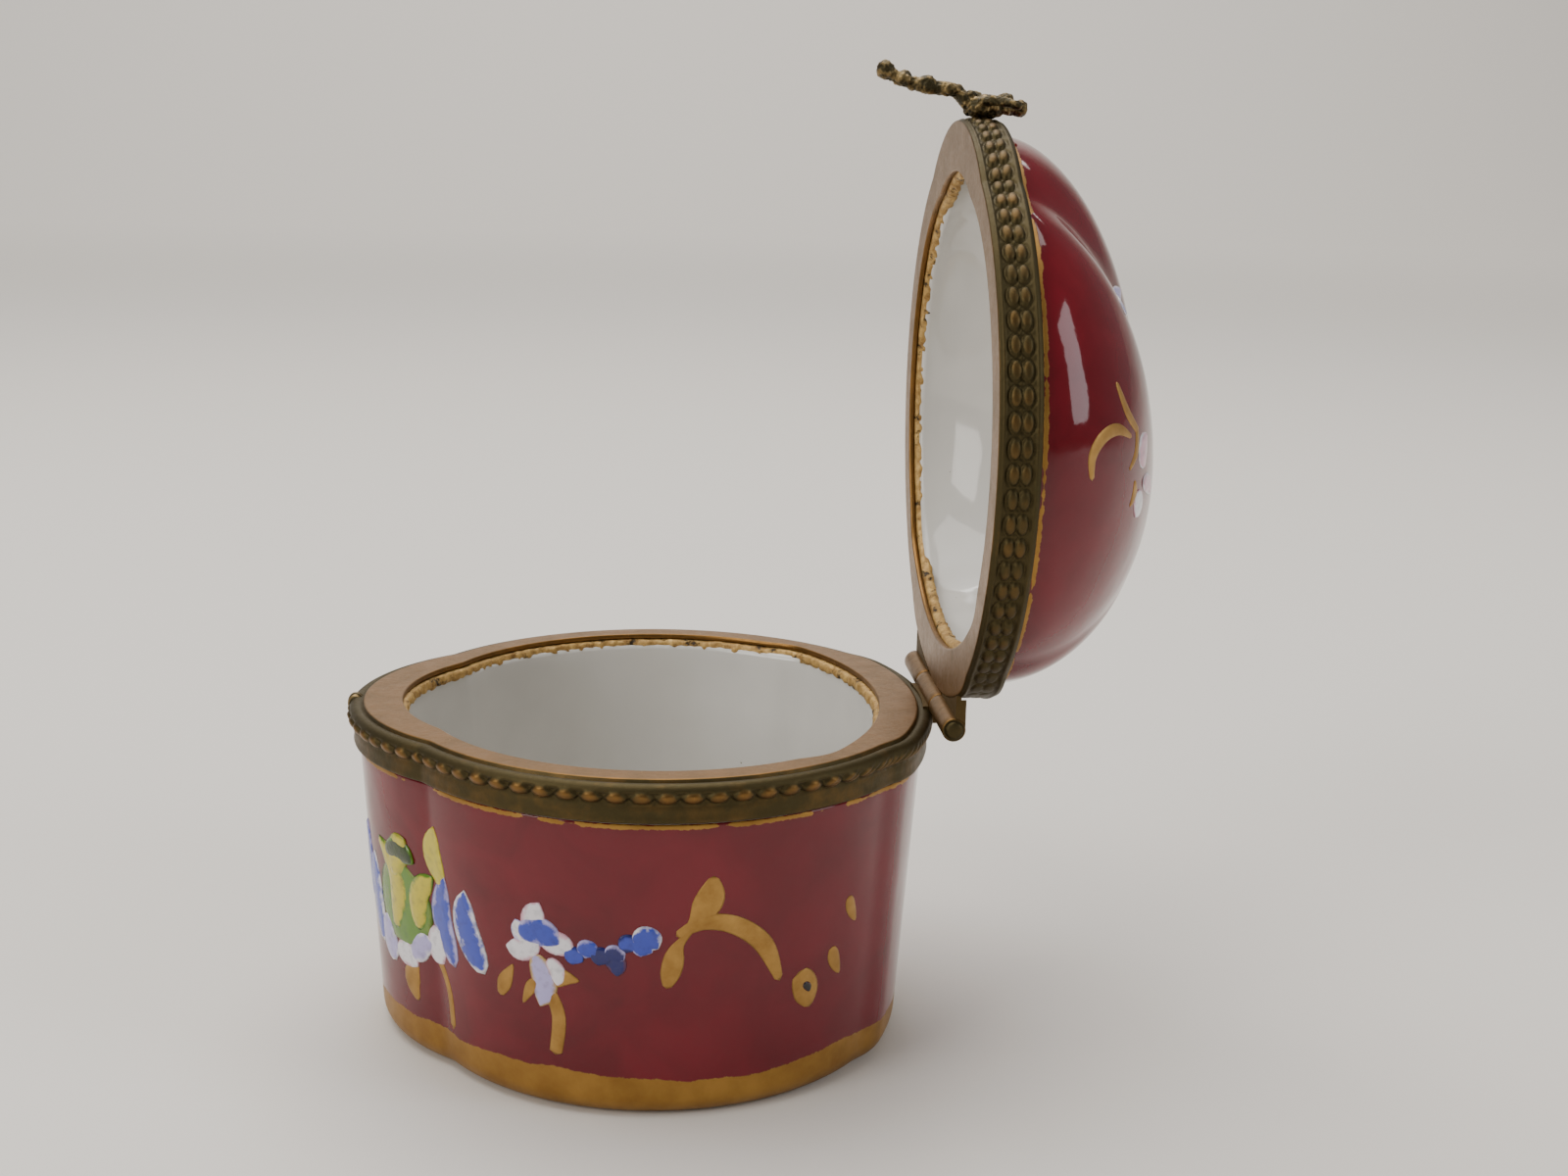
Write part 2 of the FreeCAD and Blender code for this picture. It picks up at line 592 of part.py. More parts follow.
near_seat = build_seat("hinge_seat_near", lid_bezel, NEAR_START, END_LENGTH, LID_FACE,
                       "Sizes.lid_seat_depth", SETBACK)
far_seat = build_seat("hinge_seat_far", lid_bezel, FAR_START, END_LENGTH, LID_FACE,
                      "Sizes.lid_seat_depth", SETBACK)
knob = build_knob(cup_bezel)
sprig = build_clasp()
lug = build_lug(lid_bezel, sprig)
doc.recompute()

BASE_PIECES = [cup, cup_cement, cup_bezel, middle_knuckle, cup_seat, knob]
LID_PIECES = [lid_shell, lid_cement, lid_bezel, near_knuckle, far_knuckle, pin, near_seat, far_seat,
              sprig, lug]

for item in doc.Objects:
    if "Invalid" in item.State or "Error" in item.State:
        raise RuntimeError(f"{item.Label} failed: {item.State}")

# the lid stands open: each of its pieces is turned about the hinge axis
opening = FreeCAD.Rotation(FreeCAD.Vector(0, 1, 0), size("open_angle"))
swing = FreeCAD.Placement(FreeCAD.Vector(), opening, HINGE_AXIS)
for piece in BASE_PIECES + LID_PIECES:
    shape = piece.Shape.copy()
    if shape.isNull() or not shape.isValid():
        raise RuntimeError(f"{piece.Label} has no valid shape")
    if piece in LID_PIECES:
        shape.transformShape(swing.toMatrix(), True)
    shape.exportStep(f"parts/{piece.Label}.step")
    print(f"{piece.Label:22s} {len(shape.Solids)} solid  {shape.Volume:10.2f} mm3")
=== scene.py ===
import bisect
import json
import math
from functools import partial

import bpy
from mathutils import Matrix, Vector, noise


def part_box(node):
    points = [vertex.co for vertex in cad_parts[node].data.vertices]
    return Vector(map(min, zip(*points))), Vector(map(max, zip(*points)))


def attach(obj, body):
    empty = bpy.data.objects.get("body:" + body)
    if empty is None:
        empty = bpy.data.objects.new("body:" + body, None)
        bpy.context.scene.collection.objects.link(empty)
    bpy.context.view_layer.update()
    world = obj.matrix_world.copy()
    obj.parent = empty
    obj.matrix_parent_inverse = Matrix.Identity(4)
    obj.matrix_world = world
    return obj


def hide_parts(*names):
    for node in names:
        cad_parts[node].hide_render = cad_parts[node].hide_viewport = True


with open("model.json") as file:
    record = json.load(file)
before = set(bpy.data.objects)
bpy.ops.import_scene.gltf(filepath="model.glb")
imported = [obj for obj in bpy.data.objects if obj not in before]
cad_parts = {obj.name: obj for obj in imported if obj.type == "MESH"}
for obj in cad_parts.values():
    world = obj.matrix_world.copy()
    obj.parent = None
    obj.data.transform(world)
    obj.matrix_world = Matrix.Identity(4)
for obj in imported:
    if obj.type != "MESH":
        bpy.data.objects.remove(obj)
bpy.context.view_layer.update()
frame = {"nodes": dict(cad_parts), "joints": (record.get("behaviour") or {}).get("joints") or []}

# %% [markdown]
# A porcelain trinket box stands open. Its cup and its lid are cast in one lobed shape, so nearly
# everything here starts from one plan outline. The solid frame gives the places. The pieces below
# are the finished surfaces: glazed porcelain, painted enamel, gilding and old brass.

MM = 0.001

# %% [markdown]
# The camera stands where a person sits at a table and looks across the open box, a little above
# its rim. A long lens keeps the round rim from looking stretched. It is placed first, because every
# later choice is judged through it.

# %% Camera
camera_data = bpy.data.cameras.new("camera")
camera_data.lens = 45.2
camera_data.sensor_width = 36.0
camera_data.clip_start = 0.005
camera = bpy.data.objects.new("camera", camera_data)
bpy.context.scene.collection.objects.link(camera)
bpy.context.scene.camera = camera
turn_left, look_down, lean = -0.0803, 0.2162, -0.0234
camera.matrix_world = (Matrix.Translation((-0.0013, -0.1761, 0.0791))
                       @ Matrix.Rotation(turn_left, 4, "Z")
                       @ Matrix.Rotation(math.pi / 2 - look_down, 4, "X")
                       @ Matrix.Rotation(-lean, 4, "Z"))
print("camera at", [round(v, 4) for v in camera.location])

# %% [markdown]
# Porcelain shows its gloss only when it has something to reflect. A pale floor that bends up into a
# backdrop gives a soft field, and large area lights act as windows, so the glaze carries broad,
# soft-edged highlights.

# %% Floor, backdrop and lights
bpy.ops.object.select_all(action="DESELECT")
bpy.ops.mesh.primitive_plane_add(size=6.0, location=(0, 0, 0))
floor = bpy.context.object
floor.name = "floor"
bpy.ops.object.mode_set(mode="EDIT")
bpy.ops.mesh.select_all(action="DESELECT")
bpy.ops.object.mode_set(mode="OBJECT")
for edge in floor.data.edges:
    edge.select = all(floor.data.vertices[v].co.y > 2.9 for v in edge.vertices)
bpy.ops.object.mode_set(mode="EDIT")
bpy.ops.mesh.extrude_region_move(TRANSFORM_OT_translate={"value": (0, 0, 3.0)})
bpy.ops.object.mode_set(mode="OBJECT")
bend = floor.modifiers.new("bend", "BEVEL")
bend.width, bend.segments, bend.limit_method = 1.2, 24, "ANGLE"
bpy.ops.object.modifier_apply(modifier="bend")
bpy.ops.object.shade_smooth()

floor_paint = bpy.data.materials.new("floor paint")
floor_paint.use_nodes = True
floor_paint.node_tree.nodes["Principled BSDF"].inputs["Base Color"].default_value = (0.74, 0.71, 0.67, 1)
floor_paint.node_tree.nodes["Principled BSDF"].inputs["Roughness"].default_value = 0.75
floor.data.materials.append(floor_paint)


def window_light(name, place, aim, width, height, watts, colour):
    """A soft rectangular light that faces a point."""
    data = bpy.data.lights.new(name, "AREA")
    data.shape, data.size, data.size_y = "RECTANGLE", width, height
    data.energy, data.color = watts, colour
    lamp = bpy.data.objects.new(name, data)
    lamp.location = place
    lamp.rotation_euler = (Vector(aim) - Vector(place)).to_track_quat("-Z", "Y").to_euler()
    bpy.context.scene.collection.objects.link(lamp)
    return lamp


window_light("overhead window", (-0.1, 0.15, 0.75), (0, 0, 0.03), 0.9, 0.7, 7.0, (1.0, 0.97, 0.93))
window_light("left window", (-0.6, -0.45, 0.40), (0, 0, 0.04), 0.35, 0.5, 3.2, (1.0, 0.96, 0.90))
window_light("right window", (0.65, -0.25, 0.35), (0, 0, 0.05), 0.25, 0.5, 1.6, (0.95, 0.97, 1.0))
window_light("backdrop light", (0, 1.5, 2.2), (0, 3.0, 0.6), 2.5, 1.0, 55.0, (1.0, 0.97, 0.93))
world = bpy.data.worlds.new("room")
world.use_nodes = True
world.node_tree.nodes["Background"].inputs["Color"].default_value = (0.95, 0.93, 0.90, 1)
world.node_tree.nodes["Background"].inputs["Strength"].default_value = 0.26
bpy.context.scene.world = world

# %% [markdown]
# The plan of the box is a chain of arcs that touch: a wide back, a rounded corner, a shallow
# flute, a broad side, a tight front flute and the front lobe. A moulding that runs round the box is
# the same chain moved outward, where each bulging arc grows and each hollow arc shrinks. So the
# chain is written once, and every ring of every piece is read from it. The lid's front lobe stops
# about a millimetre short of the cup's.

# %% Plan outline
HALF_LENGTH, HALF_WIDTH, SIDE_SHIFT, SETBACK = 25.0, 25.2, 1.5, 1.1
SIDE_R, FRONT_R, BACK_R, CORNER_R = 22.9, 18.5, 33.0, 7.5
FRONT_FLUTE_R, BACK_FLUTE_R, CORNER_BULGE = 3.2, 10.0, 0.5
RIM, GAP = 30.2, 0.2
AXIS_X, AXIS_Z = frame["joints"][0]["pos_m"][0] / MM, frame["joints"][0]["pos_m"][2] / MM


def crossing(one, one_r, other, other_r, hand):
    """Where two circles cross: right of the line from one to the other with hand 1, left with -1."""
    gap = math.dist(one, other)
    along = (one_r ** 2 - other_r ** 2 + gap ** 2) / (2 * gap)
    across = hand * math.sqrt(one_r ** 2 - along ** 2)
    ux, uy = (other[0] - one[0]) / gap, (other[1] - one[1]) / gap
    return (one[0] + along * ux + across * uy, one[1] + along * uy - across * ux)


def bearing(one, other):
    return math.atan2(other[1] - one[1], other[0] - one[0])


def outline_arcs(end_inset=0.0, setback=0.0):
    """Arcs anticlockwise from the middle of the back: centre, radius, bulge sign, start, sweep."""
    back = (HALF_LENGTH - end_inset - BACK_R, 0.0)
    front = (FRONT_R - HALF_LENGTH + end_inset + setback, 0.0)
    side = (SIDE_SHIFT, HALF_WIDTH - SIDE_R)
    corner = crossing(back, BACK_R - CORNER_R, side, SIDE_R - CORNER_R + CORNER_BULGE, -1)
    back_flute = crossing(corner, CORNER_R + BACK_FLUTE_R, side, SIDE_R + BACK_FLUTE_R, 1)
    front_flute = crossing(side, SIDE_R + FRONT_FLUTE_R, front, FRONT_R + FRONT_FLUTE_R, 1)
    half = [(back, BACK_R, 1, 0.0, bearing(back, corner)),
            (corner, CORNER_R, 1, bearing(back, corner), bearing(corner, back_flute)),
            (back_flute, BACK_FLUTE_R, -1, bearing(back_flute, corner), bearing(back_flute, side)),
            (side, SIDE_R, 1, bearing(side, back_flute), bearing(side, front_flute)),
            (front_flute, FRONT_FLUTE_R, -1, bearing(front_flute, side),
             bearing(front_flute, front)),
            (front, FRONT_R, 1, bearing(front, front_flute), math.pi)]
    arcs = []
    for centre, radius, sign, start, end in half:
        sweep = (end - start + math.pi) % (2 * math.pi) - math.pi
        arcs.append((centre, radius, sign, start, sweep))
    for centre, radius, sign, start, sweep in reversed(arcs[:]):
        arcs.append(((centre[0], -centre[1]), radius, sign, -(start + sweep), sweep))
    return arcs


def around(arcs):
    """Length of the outline, in millimetres."""
    return sum(radius * abs(sweep) for _, radius, _, _, sweep in arcs)


def place_at(arcs, along):
    """Arc number and share of it at a distance round the outline."""
    rest = along % around(arcs)
    for number, (_, radius, _, _, sweep) in enumerate(arcs):
        length = radius * abs(sweep)
        if rest <= length:
            return number, rest / length
        rest -= length
    return len(arcs) - 1, 1.0


def outline_point(arcs, number, share, offset):
    """A point of an outline that is moved outward by offset."""
    centre, radius, sign, start, sweep = arcs[number]
    angle = start + sweep * share
    reach = radius + sign * offset
    return centre[0] + reach * math.cos(angle), centre[1] + reach * math.sin(angle)


CAVITY_INSET, OPENING_INSET = 0.9, 1.2
PLAIN, CAVITY, OPENING = outline_arcs(), outline_arcs(CAVITY_INSET), outline_arcs(OPENING_INSET)
LID_PLAIN, LID_OPENING = outline_arcs(0.0, SETBACK), outline_arcs(OPENING_INSET, SETBACK)
CUP_ROUND, LID_ROUND = around(PLAIN), around(LID_PLAIN)


def stations(arcs, count):
    """Evenly spaced places round an outline: (arc number, share of that arc, millimetres)."""
    length = around(arcs)
    return [place_at(arcs, length * index / count) + (length * index / count,)
            for index in range(count)]


def direction(arcs, number, share):
    x, y = outline_point(arcs, number, share, 0.0)
    return math.atan2(y, x) % (2 * math.pi)


def partners(arcs, places, other):
    """Places on another chain that lie in the same direction from the middle of the box."""
    fine = stations(other, 2000)
    turns = [direction(other, number, share) for number, share, _ in fine] + [2 * math.pi]
    lengths = [along for _, _, along in fine] + [around(other)]
    found = []
    for number, share, along in places:
        turn = direction(arcs, number, share)
        right = min(max(bisect.bisect_left(turns, turn), 1), len(turns) - 1)
        part = (turn - turns[right - 1]) / (turns[right] - turns[right - 1])
        reach = lengths[right - 1] + (lengths[right] - lengths[right - 1]) * part
        found.append(place_at(other, reach) + (along,))
    return found


print("outline: arcs", len(PLAIN), "round the cup", round(CUP_ROUND, 1), "mm")

# %% [markdown]
# The lid pieces are easiest to shape with the box shut. A turn about the hinge axis then stands
# them up, as the frame has them.

# %% Standing a lid point up
def opened(point):
    """A point of the shut lid, in millimetres, turned to the open lid."""
    x, y, z = point
    return (AXIS_X + (z - AXIS_Z), y, AXIS_Z - (x - AXIS_X))


# %% [markdown]
# A lobed wall can't be made by a spin. It is made as a potter's coil would be: one ring is added as
# a circle, extruded again and again, and each ring is pushed onto its own outline. The rings of a
# moulding close on themselves, and a bowl closes at its middle point. Each point keeps the numbers
# of its ring and of its step round it, so that finishes can follow the shape.

# %% Ring building
def name_points(mesh):
    return ([item.value for item in mesh.attributes["level"].data],
            [item.value for item in mesh.attributes["step"].data])


def raise_rings(name, rings, closing):
    """Builds a piece from rings of millimetre points; closing is loop or point."""
    count = len(rings[0])
    bpy.ops.object.select_all(action="DESELECT")
    bpy.ops.mesh.primitive_circle_add(vertices=count, radius=1.0)
    piece = bpy.context.object
    piece.name = name
    bpy.ops.object.mode_set(mode="EDIT")
    bpy.ops.mesh.select_all(action="SELECT")
    for _ in rings[1:]:
        bpy.ops.mesh.extrude_region_move(TRANSFORM_OT_translate={"value": (0, 0, 1.0)})
    if closing == "loop":
        bpy.ops.mesh.select_all(action="SELECT")
    bpy.ops.object.mode_set(mode="OBJECT")
    mesh = piece.data
    level = mesh.attributes.new("level", "INT", "POINT")
    step = mesh.attributes.new("step", "INT", "POINT")
    for vertex in mesh.vertices:
        x, y, z = vertex.co
        row = round(z)
        column = round(math.atan2(-x, y) / (2 * math.pi) * count) % count
        vertex.co = Vector(rings[row][column]) * MM
        level.data[vertex.index].value = row
        step.data[vertex.index].value = column
    ends = (0, len(rings) - 1)
    bpy.ops.object.mode_set(mode="EDIT")
    bpy.ops.mesh.select_mode(type="VERT")
    if closing == "loop":
        select_rings(piece, ends)
        bpy.ops.mesh.bridge_edge_loops()
    else:
        for row in ends:
            select_rings(piece, (row,))
            bpy.ops.mesh.merge(type="CENTER")
    bpy.ops.mesh.select_all(action="SELECT")
    bpy.ops.mesh.normals_make_consistent(inside=False)
    bpy.ops.object.mode_set(mode="OBJECT")
    bpy.ops.object.shade_smooth()
    return piece


def select_rings(piece, rows):
    """In edit mode, selects the points of these rings only."""
    bpy.ops.mesh.select_all(action="DESELECT")
    bpy.ops.object.mode_set(mode="OBJECT")
    levels, _ = name_points(piece.data)
    for vertex in piece.data.vertices:
        vertex.select = levels[vertex.index] in rows
    bpy.ops.object.mode_set(mode="EDIT")


def add_number(piece, name, rule):
    """Stores a number on each point: rule takes the ring number and the step round it."""
    mesh = piece.data
    levels, steps = name_points(mesh)
    values = [rule(level, step) for level, step in zip(levels, steps)]
    mesh.attributes.new(name, "FLOAT", "POINT").data.foreach_set("value", values)


def paint_rings(piece, rule):
    """Gives each face the material number that rule returns for its lowest ring."""
    levels, _ = name_points(piece.data)
    for face in piece.data.polygons:
        face.material_index = rule(min(levels[v] for v in face.vertices))


def drop_marks(piece):
    """Clears the two counting layers once a piece is finished."""
    for name in ("level", "step"):
        piece.data.attributes.remove(piece.data.attributes[name])


def hand_over(piece, body, slot, *nodes):
    """Hangs a piece on the empty of its body and hides the frame nodes that it stands for; slot is not
    used.
    """
    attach(piece, body)
    if nodes:
        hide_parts(*nodes)


# %% [markdown]
# Each finish is a small network of nodes. One helper adds a node, sets its values and joins what is
# given as a socket, so that a finish reads as a list of what it is made of.

# %% Finish helpers
class Finish:
    """A material and short ways to add its nodes."""

    def __init__(self, name):
        self.material = bpy.data.materials.new(name)
        self.material.use_nodes = True
        self.tree = self.material.node_tree
        self.surface = self.tree.nodes["Principled BSDF"]

    def add(self, kind, values=(), **settings):
        item = self.tree.nodes.new(kind)
        for key, value in settings.items():
            setattr(item, key, value)
        for key, value in dict(values).items():
            self.put(item.inputs[key], value)
        return item

    def put(self, socket, value):
        if isinstance(value, bpy.types.NodeSocket):
            self.tree.links.new(value, socket)
        else:
            socket.default_value = value

    def set(self, **values):
        for key, value in values.items():
            self.put(self.surface.inputs[key.replace("_", " ")], value)

    def place(self):
        return self.add("ShaderNodeTexCoord").outputs["Object"]

    def number(self, name):
        return self.add("ShaderNodeAttribute", attribute_name=name).outputs["Fac"]

    def tint(self, name):
        return self.add("ShaderNodeAttribute", attribute_name=name).outputs["Color"]

    def noise(self, scale, detail=3.0, roughness=0.5, distortion=0.0, vector=None):
        item = self.add("ShaderNodeTexNoise", {"Vector": vector or self.place(), "Scale": scale,
                                               "Detail": detail, "Roughness": roughness,
                                               "Distortion": distortion})
        return item.outputs["Fac"]

    def stretched(self, scale):
        return self.add("ShaderNodeMapping", {"Vector": self.place(), "Scale": scale}).outputs[0]

    def math(self, operation, one, two=0.0):
        return self.add("ShaderNodeMath", {0: one, 1: two}, operation=operation).outputs[0]

    def spread(self, value, low, high, to_low=0.0, to_high=1.0):
        item = self.add("ShaderNodeMapRange", {"Value": value, "From Min": low, "From Max": high,
                                               "To Min": to_low, "To Max": to_high})
        return item.outputs["Result"]

    def blend(self, factor, one, two):
        item = self.add("ShaderNodeMix", {"Factor": factor}, data_type="RGBA")
        colours = [socket for socket in item.inputs if socket.type == "RGBA"]
        self.put(colours[0], one)
        self.put(colours[1], two)
        return [socket for socket in item.outputs if socket.type == "RGBA"][0]

    def mix(self, factor, one, two):
        item = self.add("ShaderNodeMix", {"Factor": factor}, data_type="FLOAT")
        numbers = [socket for socket in item.inputs if socket.type == "VALUE"][1:]
        self.put(numbers[0], one)
        self.put(numbers[1], two)
        return item.outputs[0]

    def bump(self, *layers):
        """Layers of (height, depth in metres), the coarse one first."""
        normal = None
        for height, depth in layers:
            values = {"Height": height, "Strength": 1.0, "Distance": depth}
            if normal is not None:
                values["Normal"] = normal
            normal = self.add("ShaderNodeBump", values).outputs["Normal"]
        self.put(self.surface.inputs["Normal"], normal)


GOLD = (0.38, 0.205, 0.045, 1)
GOLD_DARK = (0.26, 0.130, 0.026, 1)

# %% [markdown]
# The ground is a dark ox-blood glaze, brushed on and fired, so it has soft streaks and is a little
# redder where it lies thin. The foot carries a gilded band with a wavy hand-drawn edge and a few
# dark chips, and a ragged gold hairline follows the mount. All of this is one coat of glass, so it
# is one finish with masks, read from each point's height on the wall.

# %% Glaze with gilding
def glaze_finish(name, band_top, line_centre):
    """Ox-blood glaze; band_top is the gilded foot's height in mm or None, then the hairline's."""
    finish = Finish(name)
    rise = finish.number("rise")
    streak = finish.noise(150, 5, 0.55, 0.6)
    cloud = finish.noise(45, 2)
    ground = finish.blend(finish.spread(streak, 0.35, 0.7), (0.105, 0.0025, 0.0075, 1),
                          (0.150, 0.0040, 0.0110, 1))
    ground = finish.blend(finish.spread(cloud, 0.5, 0.8, 0.0, 0.5), ground, (0.195, 0.006, 0.015, 1))
    wander = finish.spread(finish.noise(110, 2, 0.5), 0.3, 0.7, -0.45, 0.45)
    ragged = finish.spread(finish.noise(1500, 4, 0.7), 0.3, 0.7, -0.10, 0.10)
    line_gap = finish.math("ABSOLUTE", finish.math("SUBTRACT", rise, line_centre))
    breaks = finish.spread(finish.noise(330, 2), 0.36, 0.44, -0.25, 0.0)
    line = finish.spread(finish.math("ADD", line_gap, finish.math("SUBTRACT", ragged, breaks)),
                         0.17, 0.23, 1.0, 0.0)
    gilding = line
    if band_top is not None:
        edge = finish.math("ADD", rise, finish.math("ADD", wander, ragged))
        band = finish.spread(edge, band_top - 0.06, band_top + 0.06, 1.0, 0.0)
        chips = finish.spread(finish.noise(520, 3, 0.6), 0.74, 0.76, 1.0, 0.0)
        gilding = finish.math("MAXIMUM", line, finish.math("MULTIPLY", band, chips))
    worn = finish.noise(240, 4, 0.6)
    gold = finish.blend(finish.spread(worn, 0.35, 0.7), GOLD_DARK, GOLD)
    finish.set(Base_Color=finish.blend(gilding, ground, gold),
               Metallic=finish.mix(gilding, 0.0, 0.7),
               Roughness=finish.mix(gilding, finish.spread(cloud, 0.3, 0.8, 0.06, 0.11),
                                    finish.spread(worn, 0.3, 0.7, 0.50, 0.38)),
               Specular_IOR_Level=0.42)
    finish.bump((finish.noise(90, 2), 0.00022), (finish.noise(600, 3), 0.000014),
                (finish.math("MULTIPLY", gilding, finish.noise(1600, 3, 0.6)), 0.000012))
    return finish.material


CUP_GLAZE = glaze_finish("ox-blood glaze on the cup", 3.75, 26.25)
LID_GLAZE = glaze_finish("ox-blood glaze on the lid", None, 3.95)

# %% [markdown]
# The inside is left white under a clear glaze. It is not a pure white: the glaze pools slightly
# grey and blue, and a few iron specks show.

# %% White glaze and bare foot
def white_glaze():
    finish = Finish("white glaze")
    cloud = finish.noise(60, 3)
    speck = finish.spread(finish.noise(1300, 2, 0.4), 0.79, 0.81)
    white = finish.blend(finish.spread(cloud, 0.3, 0.7), (0.56, 0.55, 0.52, 1), (0.66, 0.65, 0.62, 1))
    finish.set(Base_Color=finish.blend(speck, white, (0.20, 0.17, 0.13, 1)), Roughness=0.09,
               Specular_IOR_Level=0.5)
    finish.bump((finish.noise(110, 2), 0.00025), (cloud, 0.0001))
    return finish.material


def bare_porcelain():
    """Unglazed ring that the box stands on, greyed by handling."""
    finish = Finish("bare porcelain")
    dirt = finish.noise(200, 4, 0.6)
    finish.set(Base_Color=finish.blend(finish.spread(dirt, 0.4, 0.75), (0.62, 0.60, 0.55, 1),
                                       (0.36, 0.31, 0.25, 1)), Roughness=0.62)
    finish.bump((finish.noise(2500, 4, 0.7), 0.00002))
    return finish.material


WHITE_GLAZE, BARE_PORCELAIN = white_glaze(), bare_porcelain()

# %% [markdown]
# The cup is one casting. Its wall leans in towards the foot and turns under in a round edge. The
# rings run down the outside, under the foot, back up the hollow, then over the lip and down the
# inside, so the piece is closed and has a real wall.

# %% Cup
STEPS = 480
CUP_PLACES = stations(PLAIN, STEPS)
SHOULDER_Z, LIP_Z = RIM - 3.6, RIM - 1.0
WALL_OUT, NECK_OUT, LIP_IN, TAPER = 0.7, 0.4, 2.6, 1.6
FOOT_R, FLOOR_Z, HOLLOW, FLOOR_R = 2.0, 2.6, 0.6, 4.0


def wall_offset(z):
    """Offset of the cup's outside from the plan outline at a height."""
    sharp = WALL_OUT - TAPER * (1 - min(max((z - FOOT_R) / (SHOULDER_Z - FOOT_R), 0), 1))
    if z >= FOOT_R:
        return sharp
    drop = 1 - z / FOOT_R
    return sharp - FOOT_R * (1 - math.sqrt(max(1 - drop * drop, 0)))


def plan_ring(arcs, offset, z, places, left=1.0):
    """A ring at a height; left below 1 draws it in towards the middle, for floors."""
    ring = []
    for number, share, _ in places:
        x, y = outline_point(arcs, number, share, offset)
        ring.append((x * left, y * left, z))
    return ring


cup_rows = []          # each row: arcs, offset, height, share left of the way to the middle, part
for left in (0.01, 0.3, 0.6, 0.85, 0.97, 1.0):
    cup_rows.append((PLAIN, wall_offset(0) - 1.7, HOLLOW, left, "foot"))
cup_rows.append((PLAIN, wall_offset(0) - 1.4, 0.0, 1.0, "foot"))
for step in range(12):
    height = FOOT_R * (1 - math.cos(math.radians(step * 90 / 12)))
    cup_rows.append((PLAIN, wall_offset(height), height, 1.0, "outside"))
for step in range(31):
    height = FOOT_R + (SHOULDER_Z - 0.3 - FOOT_R) * step / 30
    cup_rows.append((PLAIN, wall_offset(height), height, 1.0, "outside"))
cup_rows.append((PLAIN, WALL_OUT - 0.06, SHOULDER_Z - 0.1, 1.0, "outside"))
cup_rows.append((PLAIN, NECK_OUT, SHOULDER_Z, 1.0, "lip"))
cup_rows.append((PLAIN, NECK_OUT, LIP_Z - 0.2, 1.0, "lip"))
cup_rows.append((PLAIN, NECK_OUT - 0.2, LIP_Z, 1.0, "lip"))
cup_rows.append((CAVITY, -LIP_IN + 0.4, LIP_Z, 1.0, "lip"))
cup_rows.append((CAVITY, -LIP_IN + 0.1, LIP_Z - 0.12, 1.0, "inside"))
for step in range(21):
    height = LIP_Z - 0.5 - (LIP_Z - 0.5 - FLOOR_Z - FLOOR_R) * step / 20
    cup_rows.append((CAVITY, -LIP_IN - 0.8 * step / 20, height, 1.0, "inside"))
for step in range(1, 10):
    angle = math.radians(step * 10)
    cup_rows.append((CAVITY, -LIP_IN - 0.8 - FLOOR_R * (1 - math.cos(angle)),
                     FLOOR_Z + FLOOR_R * (1 - math.sin(angle)), 1.0, "inside"))
for left in (0.85, 0.6, 0.3, 0.01):
    cup_rows.append((CAVITY, -LIP_IN - 0.8 - FLOOR_R, FLOOR_Z, left, "inside"))
CUP_PARTS = {"foot": 2, "outside": 0, "lip": 2, "inside": 1}
cup = raise_rings("cup_porcelain", [plan_ring(arcs, offset, z, CUP_PLACES, left)
                                    for arcs, offset, z, left, part in cup_rows], "point")
for material in (CUP_GLAZE, WHITE_GLAZE, BARE_PORCELAIN):
    cup.data.materials.append(material)
paint_rings(cup, lambda row: CUP_PARTS[cup_rows[min(row + 1, len(cup_rows) - 1)][4]])
add_number(cup, "rise", lambda row, step: cup_rows[row][2])
drop_marks(cup)
hand_over(cup, "base", "glazed_porcelain", "base_cup")
print("cup faces", len(cup.data.polygons))

# %% [markdown]
# The lid is the same outline blown up into a dome. Its heights follow a sine and its widths a
# cosine, both sharpened a little, and the crown sits nearer the hinge. The front flutes run up it as
# soft valleys, deepest at mid height, and melt away before they reach the crown.

# %% Lid
DOME_RISE, DOME_POWER, CROWN_X = 18.3, 1.1, 6.8
LID_FACE = RIM + GAP
DOME_FOOT = LID_FACE + 3.6
LID_PLACES = stations(LID_PLAIN, STEPS)
FRONT_FLUTES = [sum(r * abs(sweep) for _, r, _, _, sweep in LID_PLAIN[:4]) + 0.8]
FRONT_FLUTES.append(LID_ROUND - FRONT_FLUTES[0])
VALLEY_DEPTH, VALLEY_HALF = 1.15, 3.6


def dome_at(along, turn):
    """A point of the shut lid's outside; turn is 0 at the mount and 90 degrees at the crown."""
    number, share = place_at(LID_PLAIN, along)
    swing = math.radians(turn)
    widen, climb = math.cos(swing) ** DOME_POWER, max(math.sin(swing), 0) ** DOME_POWER
    gap = min(abs(along % LID_ROUND - flute) for flute in FRONT_FLUTES)
    valley = VALLEY_DEPTH * math.exp(-(gap * widen / VALLEY_HALF) ** 2) * math.sin(2 * swing)
    x, y = outline_point(LID_PLAIN, number, share, -valley)
    return Vector((CROWN_X + (x - CROWN_X) * widen, y * widen,
                   DOME_FOOT + (DOME_RISE - 3.6) * climb - valley * 0.5))


INSIDE_FOOT, INSIDE_DROP = 1.3, 4.0            # where the hollow starts, and how much lower it rises


def lid_inside(turn):
    widen = math.cos(math.radians(turn)) ** DOME_POWER
    climb = math.sin(math.radians(turn)) ** DOME_POWER
    ring = []
    for number, share, _ in LID_PLACES:
        x, y = outline_point(LID_PLAIN, number, share, -LIP_IN)
        ring.append((CROWN_X + (x - CROWN_X) * widen, y * widen,
                     LID_FACE + INSIDE_FOOT + (DOME_RISE - INSIDE_DROP) * climb))
    return ring


